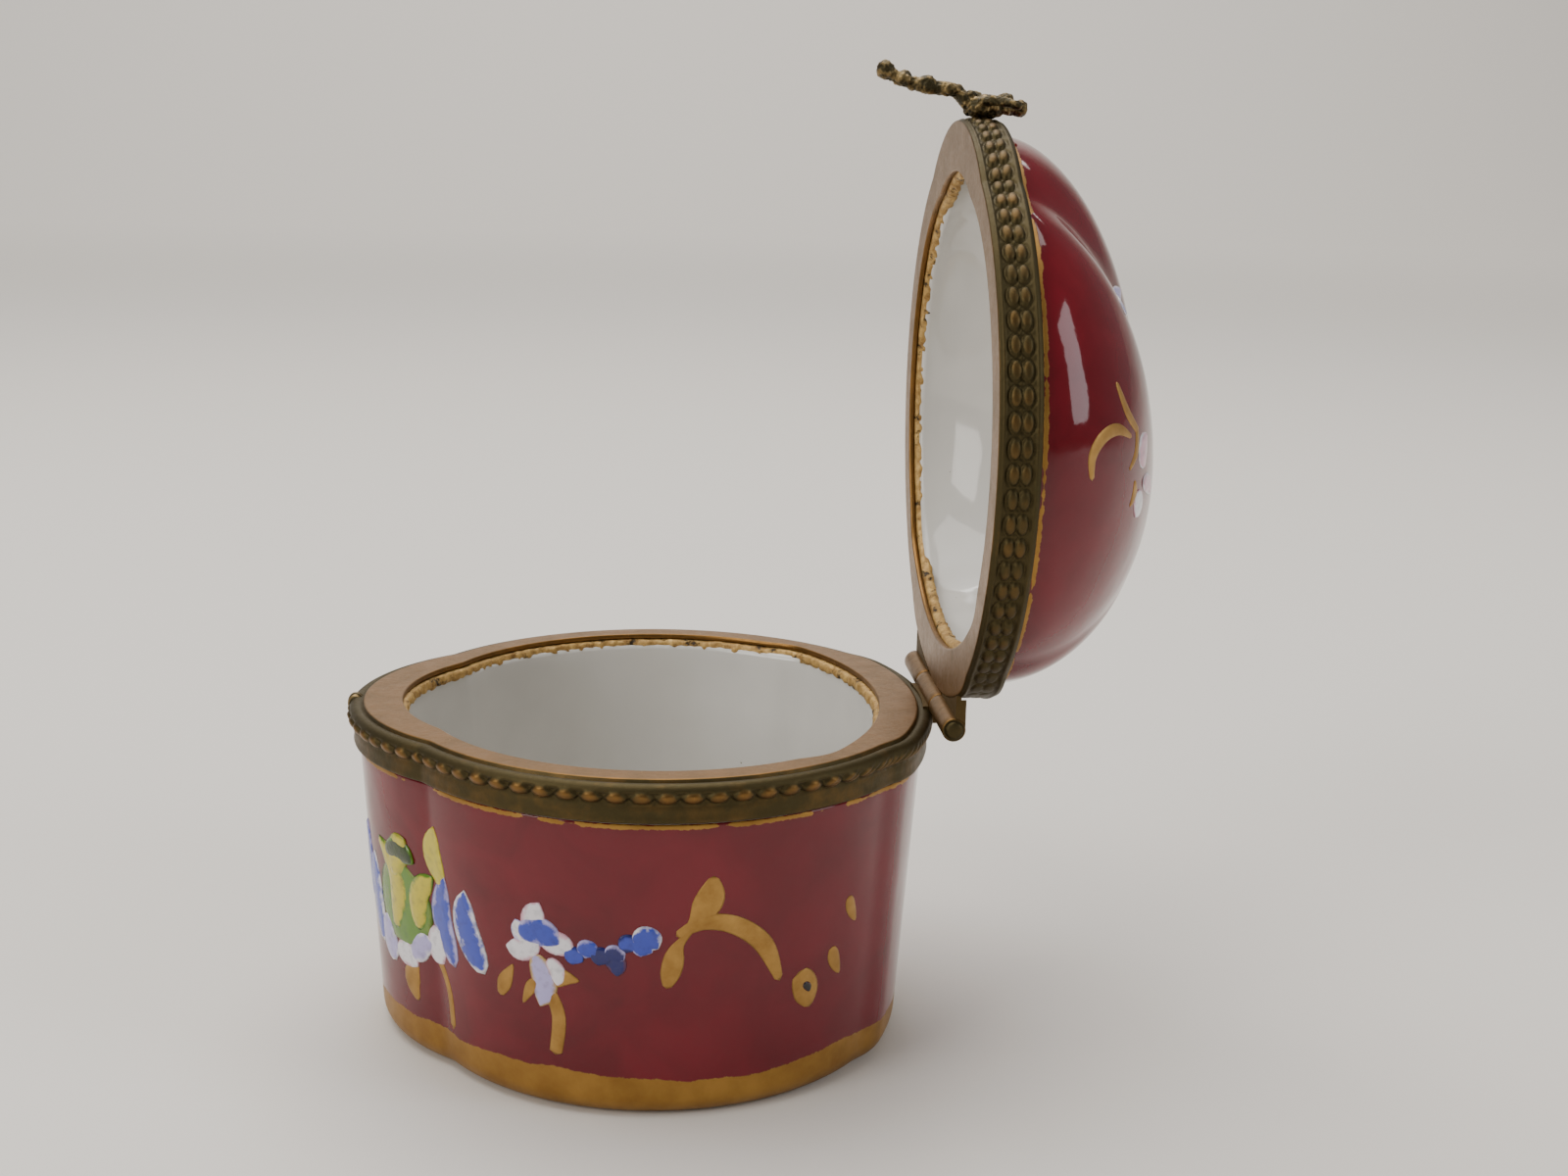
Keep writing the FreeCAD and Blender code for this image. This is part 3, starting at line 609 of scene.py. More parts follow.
lid_rows = []
for step in range(45):
    lid_rows.append(("inside", lid_inside(89.4 - step * 2)))
lid_rows.append(("inside", lid_inside(0)))
lid_rows.append(("lip", plan_ring(LID_PLAIN, -LIP_IN + 0.2, LID_FACE + 1.0, LID_PLACES)))
lid_rows.append(("lip", plan_ring(LID_PLAIN, NECK_OUT - 0.2, LID_FACE + 1.0, LID_PLACES)))
lid_rows.append(("lip", plan_ring(LID_PLAIN, NECK_OUT, LID_FACE + 1.2, LID_PLACES)))
lid_rows.append(("outside", plan_ring(LID_PLAIN, NECK_OUT, LID_FACE + 3.4, LID_PLACES)))
for step in range(60):
    lid_rows.append(("outside", [tuple(dome_at(along, step * 1.5)) for _, _, along in LID_PLACES]))
lid_rows.append(("outside", [tuple(dome_at(along, 89.5)) for _, _, along in LID_PLACES]))
LID_PARTS = {"lip": 2, "outside": 0, "inside": 1}
lid = raise_rings("lid_porcelain", [[opened(p) for p in ring] for part, ring in lid_rows], "point")
for material in (LID_GLAZE, WHITE_GLAZE, BARE_PORCELAIN):
    lid.data.materials.append(material)
paint_rings(lid, lambda row: LID_PARTS[lid_rows[row][0]])
add_number(lid, "rise", lambda row, step: lid_rows[row][1][step][2] - LID_FACE)
drop_marks(lid)
hand_over(lid, "lid", "glazed_porcelain", "lid_shell")
print("lid faces", len(lid.data.polygons))

# %% [markdown]
# The mounts are thin brass, stamped, bent round the porcelain and soldered. Fingers keep the flat
# rims and the tips of the beads bright and warm, while the hollows go dark and slightly green. So
# the finish reads a number stored on the metal: how worn each place is.

# %% Aged brass
def aged_brass(name, worn_colour, dark_colour, gloss):
    finish = Finish(name)
    worn = finish.number("worn")
    blotch = finish.noise(420, 5, 0.65)
    grain = finish.noise(2600, 4, 0.7)
    scratch = finish.noise(1, 4, 0.7, 0.0, finish.stretched((3200, 500, 500)))
    scratch_two = finish.noise(1, 4, 0.7, 0.0, finish.stretched((450, 3600, 700)))
    rub = finish.math("ADD", worn, finish.spread(blotch, 0.3, 0.7, -0.15, 0.15))
    metal = finish.blend(finish.spread(rub, 0.15, 0.85), dark_colour, worn_colour)
    green = finish.spread(finish.noise(700, 4, 0.7), 0.58, 0.76, 0.0, 0.3)
    metal = finish.blend(finish.math("MULTIPLY", green, finish.spread(rub, 0.2, 0.6, 1.0, 0.0)),
                         metal, (0.055, 0.062, 0.030, 1))
    fine = finish.math("MAXIMUM", finish.spread(scratch, 0.66, 0.72),
                       finish.spread(scratch_two, 0.67, 0.73))
    metal = finish.blend(finish.math("MULTIPLY", fine, finish.spread(rub, 0.3, 0.9, 0.0, 0.5)),
                         metal, (0.60, 0.40, 0.18, 1))
    rough = finish.math("ADD", finish.spread(rub, 0.1, 0.9, gloss + 0.2, gloss),
                        finish.spread(grain, 0.3, 0.7, -0.05, 0.05))
    finish.set(Base_Color=metal, Metallic=0.92, Roughness=rough)
    finish.bump((blotch, 0.00006), (grain, 0.000012), (fine, 0.000006))
    return finish.material


MOUNT_BRASS = aged_brass("aged brass mount", (0.225, 0.112, 0.030, 1), (0.060, 0.046, 0.019, 1), 0.33)
CAST_BRONZE = aged_brass("cast bronze clasp", (0.34, 0.235, 0.10, 1), (0.045, 0.036, 0.017, 1), 0.36)

# %% [markdown]
# The cup's mount is one strip: a flat rim plate that covers the porcelain's lip, a rounded roll, and
# an upright band below it. The roll is smooth on top and carries a row of beads on its lower half,
# about two millimetres apart. Towards the back corners the beads turn into fine slanting ridges,
# like a rope. The relief is real shape: each point of the roll is pushed in or out.

# %% Cup mount
PLATE, STRIP_OUT, STRIP_IN, STRIP_DEPTH = 0.5, 1.2, 0.8, 3.5
BEADS = 80
STEPS_PER_BEAD = 16
BEAD_PITCH = CUP_ROUND / BEADS
ROLL_OUT, ROLL_DROP, ROLL_R = 0.85, 0.95, 0.75
ROPE_FULL, ROPE_GONE = 17.0, 27.0              # millimetres round from the middle of the back
ROLL_START, ROLL_TURN, ROLL_ROWS = -125, 8, 26
NO_PUSH = (0.0, 0.0)


def ease(value, low, high):
    """Soft step from 0 to 1 between two values."""
    share = min(max((value - low) / (high - low), 0.0), 1.0)
    return share * share * (3 - 2 * share)


def rope_share(along):
    """1 where the back corners' rope is, 0 along the sides and the front."""
    from_back = min(along, CUP_ROUND - along)
    return 1 - ease(from_back, ROPE_FULL, ROPE_GONE)


def roll_relief(along, angle):
    """How far the roll's surface stands out at an angle below the level line, in degrees."""
    low_half = ease(angle, -22, 8) * (1 - ease(angle, 66, 78))
    share = rope_share(along)
    half = 0.55 + 0.42 * ease(angle, -15, 30)
    bead_place = 2 * (along / BEAD_PITCH % 1) - 1
    bead = max(1 - (bead_place / half) ** 2, 0) ** 0.6
    slant = 1.1 * math.radians(angle - 30) * (1 if along > CUP_ROUND / 2 else -1)
    rope = abs(math.sin(math.pi * (along + slant) / (BEAD_PITCH / 2))) ** 0.7
    return low_half * ((1 - share) * (0.46 * bead - 0.24) + share * (0.24 * rope - 0.12))


mount_profile = [(OPENING, -2.0, RIM - 0.42), (OPENING, -1.98, RIM - 0.06), (OPENING, -1.9, RIM)]
mount_profile += [(OPENING, -1.82, RIM), (PLAIN, 0.12, RIM), (PLAIN, 0.22, RIM)]
mount_profile += [(PLAIN, 0.34, RIM - 0.07), (PLAIN, 0.38, RIM - 0.30)]
FLAT_ROWS = len(mount_profile) - 2
ROLL_ANGLES = [ROLL_START + ROLL_TURN * step for step in range(ROLL_ROWS)]
for angle in ROLL_ANGLES:
    reach = ROLL_OUT + ROLL_R * math.cos(math.radians(angle))
    mount_profile.append((PLAIN, reach, RIM - ROLL_DROP - ROLL_R * math.sin(math.radians(angle))))
mount_profile += [(PLAIN, STRIP_OUT, RIM - drop) for drop in (2.1, 2.6, 3.1)]
mount_profile += [(PLAIN, 1.24, RIM - 3.3), (PLAIN, STRIP_OUT, RIM - 3.45),
                  (PLAIN, 1.1, RIM - STRIP_DEPTH), (PLAIN, STRIP_IN, RIM - STRIP_DEPTH),
                  (PLAIN, STRIP_IN, RIM - 2.0), (PLAIN, STRIP_IN, RIM - 0.9),
                  (PLAIN, 0.1, RIM - PLATE), (PLAIN, -1.0, RIM - PLATE), (OPENING, -1.95, RIM - PLATE)]


def raise_mount(name, profile, plain, relief, settle):
    """A moulding round a plan; relief gives (push outward, wear) from the profile row and the place."""
    rings, wear = [], []
    places = stations(plain, BEADS * STEPS_PER_BEAD)
    kept = {id(plain): places}
    for row, (arcs, offset, z) in enumerate(profile):
        ring, marks = [], []
        if id(arcs) not in kept:
            kept[id(arcs)] = partners(plain, places, arcs)
        for number, share, along in kept[id(arcs)]:
            (out, rise), worn = relief(row, along)
            x, y = outline_point(arcs, number, share, offset + out)
            ring.append(settle((x, y, z + rise)))
            marks.append(worn)
        rings.append(ring)
        wear.append(marks)
    piece = raise_rings(name, rings, "loop")
    piece.data.materials.append(MOUNT_BRASS)
    add_number(piece, "worn", lambda row, step: wear[row][step])
    drop_marks(piece)
    print(name, "faces", len(piece.data.polygons))
    return piece


RIM_WEAR, LID_RIM_WEAR, BAND_WEAR, LID_EDGE_WEAR = 0.74, 0.72, 0.22, 0.20


def cup_mount_relief(row, along):
    first = FLAT_ROWS + 2
    if row < FLAT_ROWS:
        return NO_PUSH, RIM_WEAR
    if row < first or row >= first + len(ROLL_ANGLES):
        return NO_PUSH, BAND_WEAR
    angle = ROLL_ANGLES[row - first]
    push = roll_relief(along, angle)
    turn = math.radians(angle)
    return (push * math.cos(turn), -push * math.sin(turn)), 0.10 + 2.4 * max(push, -0.04)


cup_mount = raise_mount("cup_mount", mount_profile, PLAIN, cup_mount_relief, tuple)
hand_over(cup_mount, "base", "brass", "base_bezel")

# %% [markdown]
# The lid's mount is a wider band. Two rows of small pearls lie side by side in it, each pearl with a
# groove round it, between two plain raised lines. Near the hinge the pearls are rubbed almost flat,
# and round the front lobe each pair leans like a twist of rope.

# %% Lid mount
PEARL_PITCH = LID_ROUND / BEADS
PEARL_ROWS = (1.30, 2.26)
PEARL_R = 0.52
BAND_LINES = (0.42, 3.12)
BAND_STEP = 0.105


def pearl_relief(along, height):
    """Relief of the band at a height above the lid's rim face, in millimetres."""
    from_back = min(along, LID_ROUND - along)
    fresh = 0.15 + 0.85 * ease(from_back, 10, 26)
    lean = 0.5 * ease(from_back, 56, 68) * (1 if along > LID_ROUND / 2 else -1)
    best = 9.0
    for centre in PEARL_ROWS:
        shifted = along + lean * (height - 1.78)
        sideways = (shifted / PEARL_PITCH % 1 - 0.5) * PEARL_PITCH * 0.62
        best = min(best, math.hypot(sideways, (height - centre) * 1.05))
    pearl = 0.30 * math.sqrt(max(1 - (best / PEARL_R) ** 2, 0))
    groove = -0.14 * math.exp(-((best - PEARL_R - 0.06) / 0.09) ** 2)
    lines = sum(0.13 * math.exp(-((height - line) / 0.12) ** 2) for line in BAND_LINES)
    return fresh * (pearl + groove) + lines


lid_profile = [(LID_OPENING, -1.95, LID_FACE + PLATE), (LID_OPENING, -2.0, LID_FACE + 0.4),
               (LID_OPENING, -1.98, LID_FACE + 0.06), (LID_OPENING, -1.9, LID_FACE),
               (LID_OPENING, -1.82, LID_FACE), (LID_PLAIN, 0.9, LID_FACE), (LID_PLAIN, 1.06, LID_FACE),
               (LID_PLAIN, 1.16, LID_FACE + 0.04)]
LID_FLAT_ROWS = len(lid_profile) - 1
band_heights = [0.12 + BAND_STEP * step for step in range(int(3.3 / BAND_STEP))]
lid_profile += [(LID_PLAIN, STRIP_OUT, LID_FACE + height) for height in band_heights]
lid_profile += [(LID_PLAIN, 1.16, LID_FACE + STRIP_DEPTH), (LID_PLAIN, 1.0, LID_FACE + 3.52),
                (LID_PLAIN, STRIP_IN, LID_FACE + STRIP_DEPTH), (LID_PLAIN, STRIP_IN, LID_FACE + 0.6),
                (LID_PLAIN, 0.6, LID_FACE + PLATE), (LID_PLAIN, -1.0, LID_FACE + PLATE)]


def lid_mount_relief(row, along):
    if row < LID_FLAT_ROWS:
        return NO_PUSH, LID_RIM_WEAR
    step = row - LID_FLAT_ROWS - 1
    if not 0 <= step < len(band_heights):
        return NO_PUSH, LID_EDGE_WEAR
    push = pearl_relief(along, band_heights[step])
    return (push, 0.0), 0.10 + 1.1 * max(push - 0.10, -0.08)


lid_mount = raise_mount("lid_mount", lid_profile, LID_PLAIN, lid_mount_relief, opened)
hand_over(lid_mount, "lid", "brass", "lid_bezel")

# %% [markdown]
# Between the rim plate and the porcelain lies a bead of cement that was brushed with gold. It is
# lumpy and ragged, with dark pits, and it squeezes out a little past the plate's inner edge.

# %% Gilded cement
def gilded_cement():
    finish = Finish("gilded cement")
    lumps = finish.noise(1100, 5, 0.7)
    pits = finish.spread(finish.noise(700, 4, 0.65), 0.58, 0.66)
    gold = finish.blend(finish.spread(lumps, 0.35, 0.65), (0.28, 0.15, 0.04, 1), (0.62, 0.40, 0.13, 1))
    finish.set(Base_Color=finish.blend(pits, gold, (0.035, 0.022, 0.010, 1)), Metallic=0.35,
               Roughness=finish.spread(lumps, 0.3, 0.7, 0.65, 0.42))
    finish.bump((lumps, 0.00016), (pits, -0.0001))
    return finish.material


CEMENT_GOLD = gilded_cement()
LUMP_SCALE, LUMP_SEED = 1.6, 7
noise.seed_set(LUMP_SEED)          # without it the three-way noise differs on every run


def lumpy(point, reach):
    """Moves a point by a little three-way noise."""
    push = noise.noise_vector(Vector(point) * LUMP_SCALE) * reach
    return (point[0] + push.x, point[1] + push.y, point[2] + push.z)


CEMENT_STEPS = 900
# inward offset and lumpiness of each row, then how deep it lies behind the cup's and the lid's face
CEMENT_ROWS = ((-1.2, 0.0), (-1.9, 0.05), (-2.3, 0.16), (-2.42, 0.2), (-2.48, 0.22), (-2.42, 0.2),
               (-2.1, 0.0), (-1.2, 0.0))
CUP_DEPTHS = (0.56, 0.56, 0.62, 0.85, 1.15, 1.45, 1.5, 1.1)
LID_DEPTHS = (0.56, 0.56, 0.62, 0.85, 1.15, 1.5, 1.55, 1.1)


def cement_bead(name, plain, opening, heights, settle):
    """A lumpy bead behind a rim plate, with one row of points for each height."""
    rings = []
    for (offset, reach), z in zip(CEMENT_ROWS, heights):
        ring = plan_ring(opening, offset, z, stations(plain, CEMENT_STEPS))
        rings.append([settle(lumpy(point, reach)) for point in ring])
    return raise_rings(name, rings, "loop")


cup_cement = cement_bead("cup_cement", PLAIN, OPENING, [RIM - deep for deep in CUP_DEPTHS], tuple)
lid_cement = cement_bead("lid_cement_bead", LID_PLAIN, LID_OPENING,
                         [LID_FACE + deep for deep in LID_DEPTHS], opened)
for piece, body, node in ((cup_cement, "base", "base_cement"), (lid_cement, "lid", "lid_cement")):
    piece.data.materials.append(CEMENT_GOLD)
    drop_marks(piece)
    hand_over(piece, body, "gilded_cement", node)
print("cement faces", len(cup_cement.data.polygons) + len(lid_cement.data.polygons))

# %% [markdown]
# The hinge is three drawn tubes on one pin. The tubes' ends are rounded by the file, and the pin's
# ends are peened over. Each tube is a ring profile that closes on itself, turned round the axis.

# %% Hinge tubes and pin
BARREL_R, BORE_R, HEAD_R, PIN_R = 1.05, 0.54, 0.8, 0.5
HALF_TURN_STEPS = 32


def turned(name, profile, closing):
    """A piece turned round the hinge axis from a profile of (radius, y)."""
    rings = []
    for radius, y in profile:
        ring = []
        for step in range(2 * HALF_TURN_STEPS):
            turn = step * math.pi / HALF_TURN_STEPS
            ring.append((AXIS_X + radius * math.cos(turn), y, AXIS_Z + radius * math.sin(turn)))
        rings.append(ring)
    piece = raise_rings(name, rings, closing)
    piece.data.materials.append(MOUNT_BRASS)
    add_number(piece, "worn", lambda row, step: 0.62 if profile[row][0] > BARREL_R - 0.05 else 0.1)
    drop_marks(piece)
    return piece


def tube_profile(start, end):
    soft = 0.12
    return [(BORE_R, start), (BARREL_R - soft, start), (BARREL_R - 0.035, start + 0.035),
            (BARREL_R, start + soft), (BARREL_R, start + 1.0), (BARREL_R, end - 1.0),
            (BARREL_R, end - soft), (BARREL_R - 0.035, end - 0.035), (BARREL_R - soft, end),
            (BORE_R, end)]


for node, body in (("hinge_knuckle_near", "lid"), ("hinge_knuckle_middle", "base"),
                   ("hinge_knuckle_far", "lid")):
    low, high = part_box(node)
    tube = turned(node.replace("hinge_knuckle", "tube"), tube_profile(low[1] / MM, high[1] / MM), "loop")
    hand_over(tube, body, "brass", node)
pin_low, pin_high = [corner[1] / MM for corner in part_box("hinge_pin")]
pin_profile = [(0.05, pin_low), (HEAD_R * 0.6, pin_low + 0.03), (HEAD_R, pin_low + 0.16),
               (HEAD_R, pin_low + 0.34), (PIN_R, pin_low + 0.36), (PIN_R, 0.0), (PIN_R, pin_high - 0.36),
               (HEAD_R, pin_high - 0.34), (HEAD_R, pin_high - 0.16), (HEAD_R * 0.6, pin_high - 0.03),
               (0.05, pin_high)]
hand_over(turned("peened_pin", pin_profile, "point"), "lid", "brass", "hinge_pin")
print("pin", round(pin_high - pin_low, 2), "mm long")

# %% [markdown]
# The solder seats beside the knuckles keep their solid shape. They only need the finish of dull,
# filed brass, with no wear, because nothing rubs them.

# %% Solder seats
SEAT_BRASS = aged_brass("dull solder", (0.40, 0.26, 0.11, 1), (0.10, 0.065, 0.025, 1), 0.45)
for node in ("hinge_seat_cup", "hinge_seat_near", "hinge_seat_far"):
    seat = frame["nodes"][node]
    seat.data.materials.clear()
    seat.data.materials.append(SEAT_BRASS)
print("seats finished")

# %% [markdown]
# The clasp is a cast bronze twig with leaves, worked over by a file. It is built as a founder's wax
# would be: lumps are pressed together, fused, and the surface is left rough. Its lower end flares
# out so that a finger can lift it, and its middle sits on a small lug.

# %% Clasp
def press_lumps(name, lumps, fine):
    """Fuses stretched balls: each lump is (centre, half sizes, tilt in degrees about Y and X)."""
    bpy.ops.object.select_all(action="DESELECT")
    balls = []
    for centre, halves, tilt_y, tilt_x in lumps:
        bpy.ops.mesh.primitive_uv_sphere_add(segments=20, ring_count=12, radius=1.0)
        ball = bpy.context.object
        ball.data.transform(Matrix.Translation(Vector(centre) * MM)
                            @ Matrix.Rotation(math.radians(tilt_y), 4, "Y")
                            @ Matrix.Rotation(math.radians(tilt_x), 4, "X")
                            @ Matrix.Diagonal(Vector(halves) * MM).to_4x4())
        balls.append(ball)
    bpy.ops.object.select_all(action="DESELECT")
    for ball in balls:
        ball.select_set(True)
    bpy.context.view_layer.objects.active = balls[0]
    if len(balls) > 1:
        bpy.ops.object.join()
    piece = bpy.context.object
    piece.name = name
    fuse = piece.modifiers.new("fuse", "REMESH")
    fuse.mode, fuse.voxel_size = "VOXEL", fine * MM
    bpy.ops.object.modifier_apply(modifier="fuse")
    soften = piece.modifiers.new("soften", "SMOOTH")
    soften.factor, soften.iterations = 0.5, 3
    bpy.ops.object.modifier_apply(modifier="soften")
    return piece


def roughen(piece, scale, depth, finish):
    """Pushes the surface in and out by noise and stores how worn each place is."""
    mesh = piece.data
    worn = mesh.attributes.new("worn", "FLOAT", "POINT")
    normals = [vertex.normal.copy() for vertex in mesh.vertices]
    for vertex, normal in zip(mesh.vertices, normals):
        spot = vertex.co / MM
        lump = noise.noise(spot * scale) * 0.7 + noise.noise(spot * scale * 2.7) * 0.4
        vertex.co += normal * lump * depth * MM
        worn.data[vertex.index].value = 0.28 + 0.75 * lump
    mesh.materials.append(finish)
    bpy.ops.object.select_all(action="DESELECT")
    piece.select_set(True)
    bpy.context.view_layer.objects.active = piece
    bpy.ops.object.shade_smooth()


def stand_up(piece):
    """Turns a piece that was built on the shut lid about the hinge axis to the open lid."""
    for vertex in piece.data.vertices:
        vertex.co = Vector(opened(vertex.co / MM)) * MM
    piece.data.update()


ARM = [(36.0, 26.15), (34.6, 26.2), (33.2, 26.35), (32.0, 26.4), (31.1, 26.6), (30.3, 27.55),
       (28.9, 27.78), (27.6, 27.85), (26.2, 28.15), (25.0, 28.55), (23.9, 29.1)]


def arm_at(share):
    """Height and distance out of the arm's middle line, from its top to its tip."""
    place = share * (len(ARM) - 1)
    first = min(int(place), len(ARM) - 2)
    t = place - first
    return [a + (b - a) * t for a, b in zip(ARM[first], ARM[first + 1])]


twig = []
for step in range(33):
    height, out = arm_at(step / 32)
    swell = 0.08 * math.sin(step * 1.9)
    twig.append(((-out, 0.16 * math.sin(step * 1.3), height), (0.60, 0.85 + swell, 0.56), 0, 0))
twig += [((-26.3, 0.0, 33.2), (1.05, 1.35, 1.35), 10, 0),
         ((-26.6, 0.45, 31.8), (1.00, 1.00, 1.20), 16, 18),
         ((-26.2, -0.55, 32.2), (0.95, 1.05, 1.15), -8, -20),
         ((-26.9, -0.2, 34.4), (0.55, 0.9, 0.85), -14, 0),
         ((-26.2, 0.0, 35.9), (0.75, 1.0, 0.68), 0, 0), ((-28.05, 0.1, 27.6), (0.80, 1.05, 0.95), 12, 0),
         ((-28.5, 0.3, 25.6), (0.72, 0.8, 0.8), 20, 0), ((-29.2, 0.0, 23.9), (0.85, 1.0, 0.78), -25, 0)]
for side in (-1, 1):                           # a leaf on each side, rolled at its tip
    for step in range(9):
        share = step / 8
        twig.append(((-26.4 - 0.35 * math.sin(share * math.pi), side * (0.5 + 2.8 * share),
                      31.9 + 3.0 * share ** 1.3),
                     (0.42, 0.66 - 0.2 * share, 0.70 - 0.15 * share), 0, side * -35))
clasp = press_lumps("clasp_twig", twig, 0.085)
roughen(clasp, 1.7, 0.19, CAST_BRONZE)
stand_up(clasp)
hand_over(clasp, "lid", "brass", "clasp_sprig")

lug_low, lug_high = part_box("clasp_lug")
lug_middle = [(a + b) / 2 / MM for a, b in zip(lug_low, lug_high)]
lug_half = [(b - a) / 2 / MM for a, b in zip(lug_low, lug_high)]
lug_lumps = []
for shift in (-0.55, -0.1, 0.3, 0.55):
    halves = (lug_half[0] * 0.95, lug_half[1] * (0.85 - 0.12 * shift), lug_half[2] * 0.45)
    lug_lumps.append(((lug_middle[0], 0, lug_middle[2] + shift * lug_half[2]), halves, 0, 0))
lug = press_lumps("clasp_foot", lug_lumps, 0.08)
roughen(lug, 1.5, 0.12, CAST_BRONZE)
hand_over(lug, "lid", "brass", "clasp_lug")
print("clasp faces", len(clasp.data.polygons), "foot", len(lug.data.polygons))

# %% [markdown]
# The catch is a small domed nib on the front of the cup's roll, with upright ridges cut in it.

# %% Catch nib
nib = press_lumps("catch_nib", [((-HALF_LENGTH - 1.15, 0, RIM - ROLL_DROP), (0.72, 1.05, 1.05), 0, 0),
                                ((-HALF_LENGTH - 0.9, 0, RIM - ROLL_DROP), (0.5, 0.9, 0.9), 0, 0)], 0.07)
worn = nib.data.attributes.new("worn", "FLOAT", "POINT")
for vertex in nib.data.vertices:
    ridge = math.cos(vertex.co.y / MM * 2 * math.pi / 0.5)
    vertex.co.x -= 0.06 * ridge * MM
    worn.data[vertex.index].value = 0.35 + 0.4 * ridge
nib.data.materials.append(CAST_BRONZE)
bpy.ops.object.shade_smooth()
hand_over(nib, "base", "brass", "catch_knob")
print("nib faces", len(nib.data.polygons))

# %% [markdown]
# The flowers are painted by hand in thick enamel and gold, fired on, and stand a little proud of
# the glaze. Each brush stroke is a thin domed leaf of colour that follows the wall: it is laid out
# as distances round and up the wall, so it bends into the flutes as a real stroke does.

# %% Brush strokes
def wall_at(along, height, lift):
    """A point of the cup's wall, lifted off it."""
    number, share = place_at(PLAIN, along)
    x, y = outline_point(PLAIN, number, share, wall_offset(height) + lift)
    return (x, y, height)


CLIMB_SPAN, SIDE_LOBE = 27.0, 40.0             # rim to crown, and crown flute to side lobe


def dome_spot(middle):
    """A map of the lid near one flute or lobe: sideways and upward distances to a lifted point."""
    def spot(sideways, climb, lift):
        turn = climb / CLIMB_SPAN * 90
        along = middle + sideways / max(math.cos(math.radians(turn)), 0.2)
        here = dome_at(along, turn)
        across = dome_at(along + 0.2, turn) - here
        up = dome_at(along, turn + 0.5) - here
        outward = across.cross(up).normalized()
        return opened(here - outward * lift if outward.z < 0 else here + outward * lift)
    return spot


def follow(points, share):
    """A smooth curve through the points, at a share of its length."""
    spans = len(points) - 1
    place = min(share * spans, spans - 1e-6)
    first = int(place)
    t = place - first
    ring = [points[max(first - 1, 0)], points[first], points[first + 1], points[min(first + 2, spans)]]
    value = []
    for a, b, c, d in zip(*ring):
        value.append(0.5 * (2 * b + (c - a) * t + (2 * a - 5 * b + 4 * c - d) * t * t
                            + (3 * b - a - 3 * c + d) * t ** 3))
    return value


STROKE_COLUMNS = 12


def stroke_rings(surface, points, widths, lift, rows):
    """Rings of a stroke: points are its middle line, widths its half widths along it."""
    rings = []
    for row in range(rows):
        share = row / (rows - 1)
        x, y = follow(points, share)
        x2, y2 = follow(points, min(share + 0.02, 1.0))
        x1, y1 = follow(points, max(share - 0.02, 0.0))
        length = math.hypot(x2 - x1, y2 - y1) or 1.0
        nx, ny = -(y2 - y1) / length, (x2 - x1) / length
        half = max(follow([(w,) for w in widths], share)[0], 0.02)
        ring = []
        for column in range(STROKE_COLUMNS):
            angle = 2 * math.pi * column / STROKE_COLUMNS
            side, up = math.cos(angle) * half, math.sin(angle)
            thick = lift * up if up > 0 else 0.05 * up
            ring.append(surface(x + nx * side, y + ny * side, thick))
        rings.append(ring)
    return rings


def lay_stroke(name, surface, points, widths, finish, lift=0.10, rows=12, inner=None, rim=None):
    """One stroke of gold or enamel; inner and rim are the enamel's two colours."""
    rings = stroke_rings(surface, points, widths, lift, rows)
    piece = raise_rings(name, rings, "point")
    piece.data.materials.append(finish)
    add_number(piece, "edge", lambda row, step: abs(math.cos(2 * math.pi * step / STROKE_COLUMNS)))
    add_number(piece, "reach", lambda row, step: row / (rows - 1))
    if inner is not None:
        for label, colour in (("pigment", inner), ("border", rim)):
            layer = piece.data.attributes.new(label, "FLOAT_COLOR", "POINT")
            layer.data.foreach_set("color", list(colour) * len(piece.data.vertices))
    drop_marks(piece)
    return piece


def raised_gold():
    finish = Finish("raised gold")
    worn = finish.noise(500, 4, 0.6)
    finish.set(Base_Color=finish.blend(finish.spread(worn, 0.3, 0.75), (0.29, 0.150, 0.033, 1),
                                       (0.47, 0.270, 0.070, 1)),
               Metallic=0.65, Roughness=finish.spread(worn, 0.3, 0.7, 0.52, 0.38))
    finish.bump((worn, 0.00003), (finish.noise(1800, 3), 0.00001))
    return finish.material


def painted_enamel():
    """Thick enamel: the pigment in the middle, a paler border, and brushed streaks along it."""
    finish = Finish("painted enamel")
    edge, reach = finish.number("edge"), finish.number("reach")
    streak = finish.noise(900, 4, 0.6)
    ragged = finish.math("ADD", edge, finish.spread(streak, 0.3, 0.7, -0.35, 0.35))
    ends = finish.spread(finish.math("ABSOLUTE", finish.math("SUBTRACT", reach, 0.5)), 0.30, 0.5, 0.0, 0.5)
    factor = finish.spread(finish.math("ADD", ragged, ends), 0.62, 1.0)
    colour = finish.blend(factor, finish.tint("pigment"), finish.tint("border"))
    shade = finish.blend(finish.spread(finish.noise(1500, 3), 0.5, 0.8, 0.0, 0.35), colour,
                         (0.02, 0.015, 0.05, 1))
    finish.set(Base_Color=shade, Roughness=0.16, Specular_IOR_Level=0.5)
    finish.bump((streak, 0.00006))
    return finish.material


RAISED_GOLD, ENAMEL = raised_gold(), painted_enamel()
BLUE, DEEP_BLUE, WHITE = (0.035, 0.06, 0.42, 1), (0.012, 0.014, 0.12, 1), (0.72, 0.70, 0.74, 1)
LILAC, PINK, YELLOW = (0.42, 0.38, 0.66, 1), (0.62, 0.36, 0.44, 1), (0.52, 0.44, 0.03, 1)
GREEN, BLACK = (0.10, 0.22, 0.02, 1), (0.012, 0.010, 0.008, 1)
cup_gold, cup_enamel, lid_gold, lid_enamel = [], [], [], []


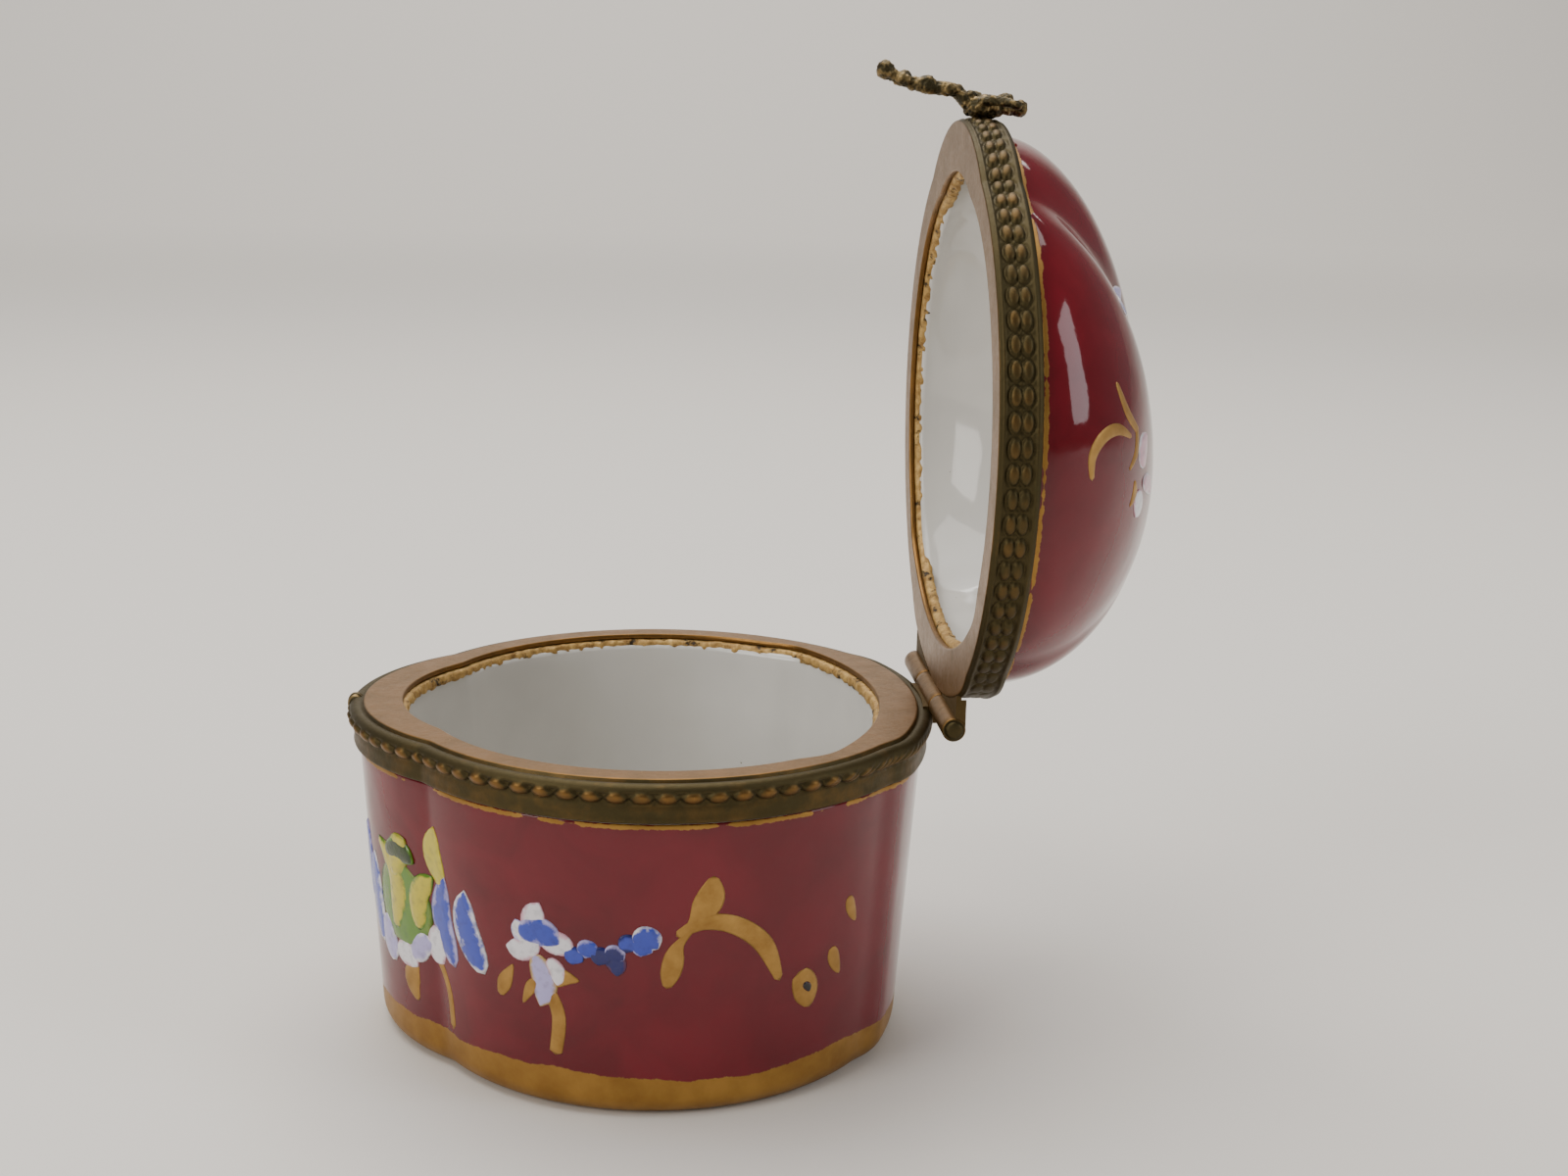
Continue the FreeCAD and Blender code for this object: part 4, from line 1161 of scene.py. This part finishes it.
def gold(pile, surface, points, widths, rows=12):
    pile.append(lay_stroke("gold_stroke", surface, points, widths, RAISED_GOLD, lift=0.07, rows=rows))


def petal(pile, surface, foot, tip, half, inner, rim, lift=0.12, bend=0.15):
    """A drop-shaped petal from its narrow foot to its round tip."""
    dx, dy = tip[0] - foot[0], tip[1] - foot[1]
    middle = (foot[0] + dx * 0.55 - dy * bend, foot[1] + dy * 0.55 + dx * bend)
    pile.append(lay_stroke("enamel_petal", surface, [foot, middle, tip],
                           [half * 0.35, half * 0.9, half, half * 0.75, 0.03], ENAMEL, lift=lift,
                           inner=inner, rim=rim))


print("brush ready")

# %% [markdown]
# A side of the cup reads from the front lobe towards the hinge: a large tulip on the front lobe, a
# small white flower with a blue heart, a spray of berries, then a gold scroll that ends in three
# dots. The other side is painted the same way, mirrored, as a painter does who turns the box round.

# %% Painting on the cup
def paint_side(mirror):
    """Paints one side; distances round the wall are measured from the middle of the front."""
    front = CUP_ROUND / 2

    def surface(sideways, height, lift):
        return wall_at(front + mirror * sideways, height, lift)

    leaf, line = partial(petal, cup_enamel, surface), partial(gold, cup_gold, surface)
    # tulip on the front lobe: a fat green heart between yellow side petals
    leaf((12.4, 10.2), (12.8, 18.4), 4.2, GREEN, (0.16, 0.24, 0.03, 1), 0.12, 0.03)
    leaf((11.0, 11.4), (8.6, 19.6), 1.5, YELLOW, GREEN, 0.20, -0.25)
    leaf((14.8, 12.4), (17.0, 18.0), 1.3, YELLOW, GREEN, 0.20, 0.2)
    leaf((11.4, 16.6), (13.6, 20.6), 1.6, YELLOW, (0.30, 0.30, 0.03, 1), 0.24, 0.12)
    leaf((10.2, 18.8), (14.6, 18.6), 1.2, (0.03, 0.05, 0.01, 1), GREEN, 0.28)
    leaf((7.6, 9.0), (6.9, 17.6), 1.9, BLUE, WHITE, 0.14, 0.1)
    leaf((5.4, 12.4), (4.4, 19.8), 1.8, BLUE, LILAC, 0.14, 0.1)
    leaf((10.4, 8.2), (9.2, 12.4), 1.6, LILAC, WHITE, 0.16)
    leaf((10.8, 9.4), (14.2, 8.8), 1.3, WHITE, PINK, 0.15)
    leaf((13.6, 9.4), (16.4, 11.6), 1.3, LILAC, WHITE, 0.15)
    leaf((18.4, 17.4), (17.6, 22.8), 1.35, YELLOW, (0.62, 0.52, 0.06, 1), 0.14)
    leaf((19.6, 10.4), (18.8, 18.6), 1.55, BLUE, LILAC, 0.15)
    leaf((17.2, 9.8), (17.8, 13.6), 1.3, WHITE, PINK, 0.13)
    leaf((23.6, 11.0), (21.6, 18.2), 1.7, BLUE, WHITE, 0.15)
    # white flower with a blue heart
    leaf((29.4, 14.8), (29.6, 18.9), 1.2, WHITE, PINK, 0.12)
    leaf((29.4, 15.4), (26.1, 14.4), 1.1, WHITE, PINK, 0.12)
    leaf((29.5, 15.4), (32.5, 14.6), 1.1, WHITE, PINK, 0.12)
    leaf((29.2, 15.0), (27.2, 17.0), 1.0, WHITE, LILAC, 0.12)
    leaf((27.4, 15.9), (31.4, 15.4), 1.35, BLUE, LILAC, 0.2)
    leaf((28.9, 14.2), (29.3, 9.4), 1.2, LILAC, (0.45, 0.30, 0.12, 1), 0.1)
    leaf((30.2, 14.0), (31.0, 11.6), 0.8, WHITE, PINK, 0.12)
    # spray of berries
    for number in range(6):
        place = 32.5 + number * 1.15
        rise = 14.2 + 0.24 * number + 0.5 * math.sin(number * 1.9)
        shade = DEEP_BLUE if number in (2, 3) else BLUE
        leaf((place - 0.85, rise + 0.3), (place + 0.85, rise - 0.1), 0.85, shade,
             LILAC if number % 2 else DEEP_BLUE, 0.15)
    leaf((35.2, 15.4), (36.2, 13.0), 0.9, DEEP_BLUE, (0.10, 0.02, 0.05, 1), 0.12)
    leaf((37.4, 16.6), (39.6, 15.6), 1.15, BLUE, WHITE, 0.17)
    # gold: drop leaf, stems, side leaves
    line([(13.8, 5.4), (13.0, 7.4), (14.2, 10.0)], [0.25, 1.25, 0.1])
    line([(18.5, 4.2), (18.2, 8.0), (16.2, 11.2), (14.4, 11.6)],
         [0.40, 0.42, 0.36, 0.2], 16)
    line([(25.2, 9.6), (25.8, 11.0), (26.8, 12.8)], [0.3, 0.75, 0.1])
    line([(29.6, 12.2), (31.0, 9.0), (30.6, 5.2)], [0.45, 0.62, 0.66, 0.6], 16)
    line([(29.6, 11.4), (31.2, 12.4), (33.0, 12.3)], [0.4, 0.85, 0.1])
    line([(29.9, 11.8), (28.6, 11.2), (27.6, 9.4)], [0.3, 0.6, 0.1])
    # gold scroll with its two leaves and the three dots
    line([(41.0, 16.7), (43.3, 17.8), (46.0, 17.3), (48.6, 15.2), (50.3, 11.6)],
         [0.35, 0.62, 0.78, 0.84, 0.80, 0.35], 26)
    line([(41.2, 16.5), (42.6, 18.2), (43.7, 19.8), (44.0, 21.9)],
         [0.12, 0.35, 1.15, 1.15, 0.3], 18)
    line([(42.6, 17.5), (41.2, 15.8), (40.7, 13.8), (40.3, 12.0)],
         [0.2, 0.35, 0.85, 0.85, 0.3], 18)
    line([(52.2, 12.0), (53.0, 10.4), (53.6, 8.4)], [0.7, 1.25, 1.25, 0.3])
    line([(55.8, 13.4), (56.2, 12.1), (57.0, 10.6)], [0.3, 0.68, 0.58, 0.1])
    line([(57.5, 17.6), (57.9, 16.4), (58.7, 15.0)], [0.3, 0.60, 0.52, 0.1])
    leaf((52.7, 10.8), (53.4, 9.9), 0.42, BLACK, (0.10, 0.02, 0.02, 1), 0.16)


paint_side(1)
paint_side(-1)
print("strokes on the cup", len(cup_gold) + len(cup_enamel))

# %% [markdown]
# The lid carries a spray that runs over the crown: blue and white petals near the front flute, pink
# and white ones on the crown, and a gold scroll with an open loop on each side lobe.

# %% Painting on the lid
def paint_lid_side(mirror):
    """Paints one side lobe; sideways distances run from the lobe's middle towards the hinge."""
    base = dome_spot(LID_ROUND / 2 + mirror * SIDE_LOBE)

    def surface(sideways, climb, lift):
        return base(mirror * sideways, climb, lift)

    leaf, line = partial(petal, lid_enamel, surface), partial(gold, lid_gold, surface)
    line([(0.4, 6.1), (-1.6, 6.0), (-3.2, 7.3), (-3.9, 9.3), (-3.4, 11.6)],
         [0.25, 0.5, 0.55, 0.5, 0.2], 22)
    line([(-7.8, 9.0), (-5.4, 10.8), (-3.9, 12.9)], [0.2, 0.45, 0.35], 16)
    line([(-0.6, 11.4), (-2.2, 12.6), (-4.2, 12.6)], [0.15, 0.38, 0.3], 16)
    leaf((-0.8, 14.2), (-4.0, 15.0), 1.1, PINK, WHITE, 0.13)
    leaf((1.0, 13.6), (3.6, 13.4), 1.15, WHITE, PINK, 0.13)
    leaf((0.4, 14.4), (1.4, 17.6), 0.95, PINK, WHITE, 0.16)
    line([(0.2, 12.6), (1.4, 12.8), (2.6, 12.0)], [0.15, 0.5, 0.1])
    leaf((-14.8, 12.2), (-17.8, 13.2), 0.95, BLUE, WHITE, 0.13)
    leaf((-17.6, 14.2), (-20.6, 14.6), 0.95, LILAC, WHITE, 0.13)


paint_lid_side(1)
paint_lid_side(-1)
CROWN = dome_spot(LID_ROUND / 2)
for number in range(5):
    way = 2 * math.pi * number / 5
    foot = (0.7 * math.cos(way), 22.0 + 0.7 * math.sin(way))
    tip = (1.6 * math.cos(way), 22.0 + 2.8 * math.sin(way))
    petal(lid_enamel, CROWN, foot, tip, 0.8, BLUE if number % 2 else WHITE, WHITE, 0.14)


def gather(name, strokes, body):
    """Joins strokes of one finish into a piece."""
    bpy.ops.object.select_all(action="DESELECT")
    for stroke in strokes:
        stroke.select_set(True)
    bpy.context.view_layer.objects.active = strokes[0]
    bpy.ops.object.join()
    piece = bpy.context.object
    piece.name = name
    hand_over(piece, body, "glazed_porcelain")


for strokes, name, body in ((cup_gold, "cup_gold_painting", "base"),
                            (cup_enamel, "cup_enamel_painting", "base"),
                            (lid_gold, "lid_gold_painting", "lid"),
                            (lid_enamel, "lid_enamel_painting", "lid")):
    gather(name, strokes, body)
print("strokes on the lid", len(lid_gold) + len(lid_enamel))
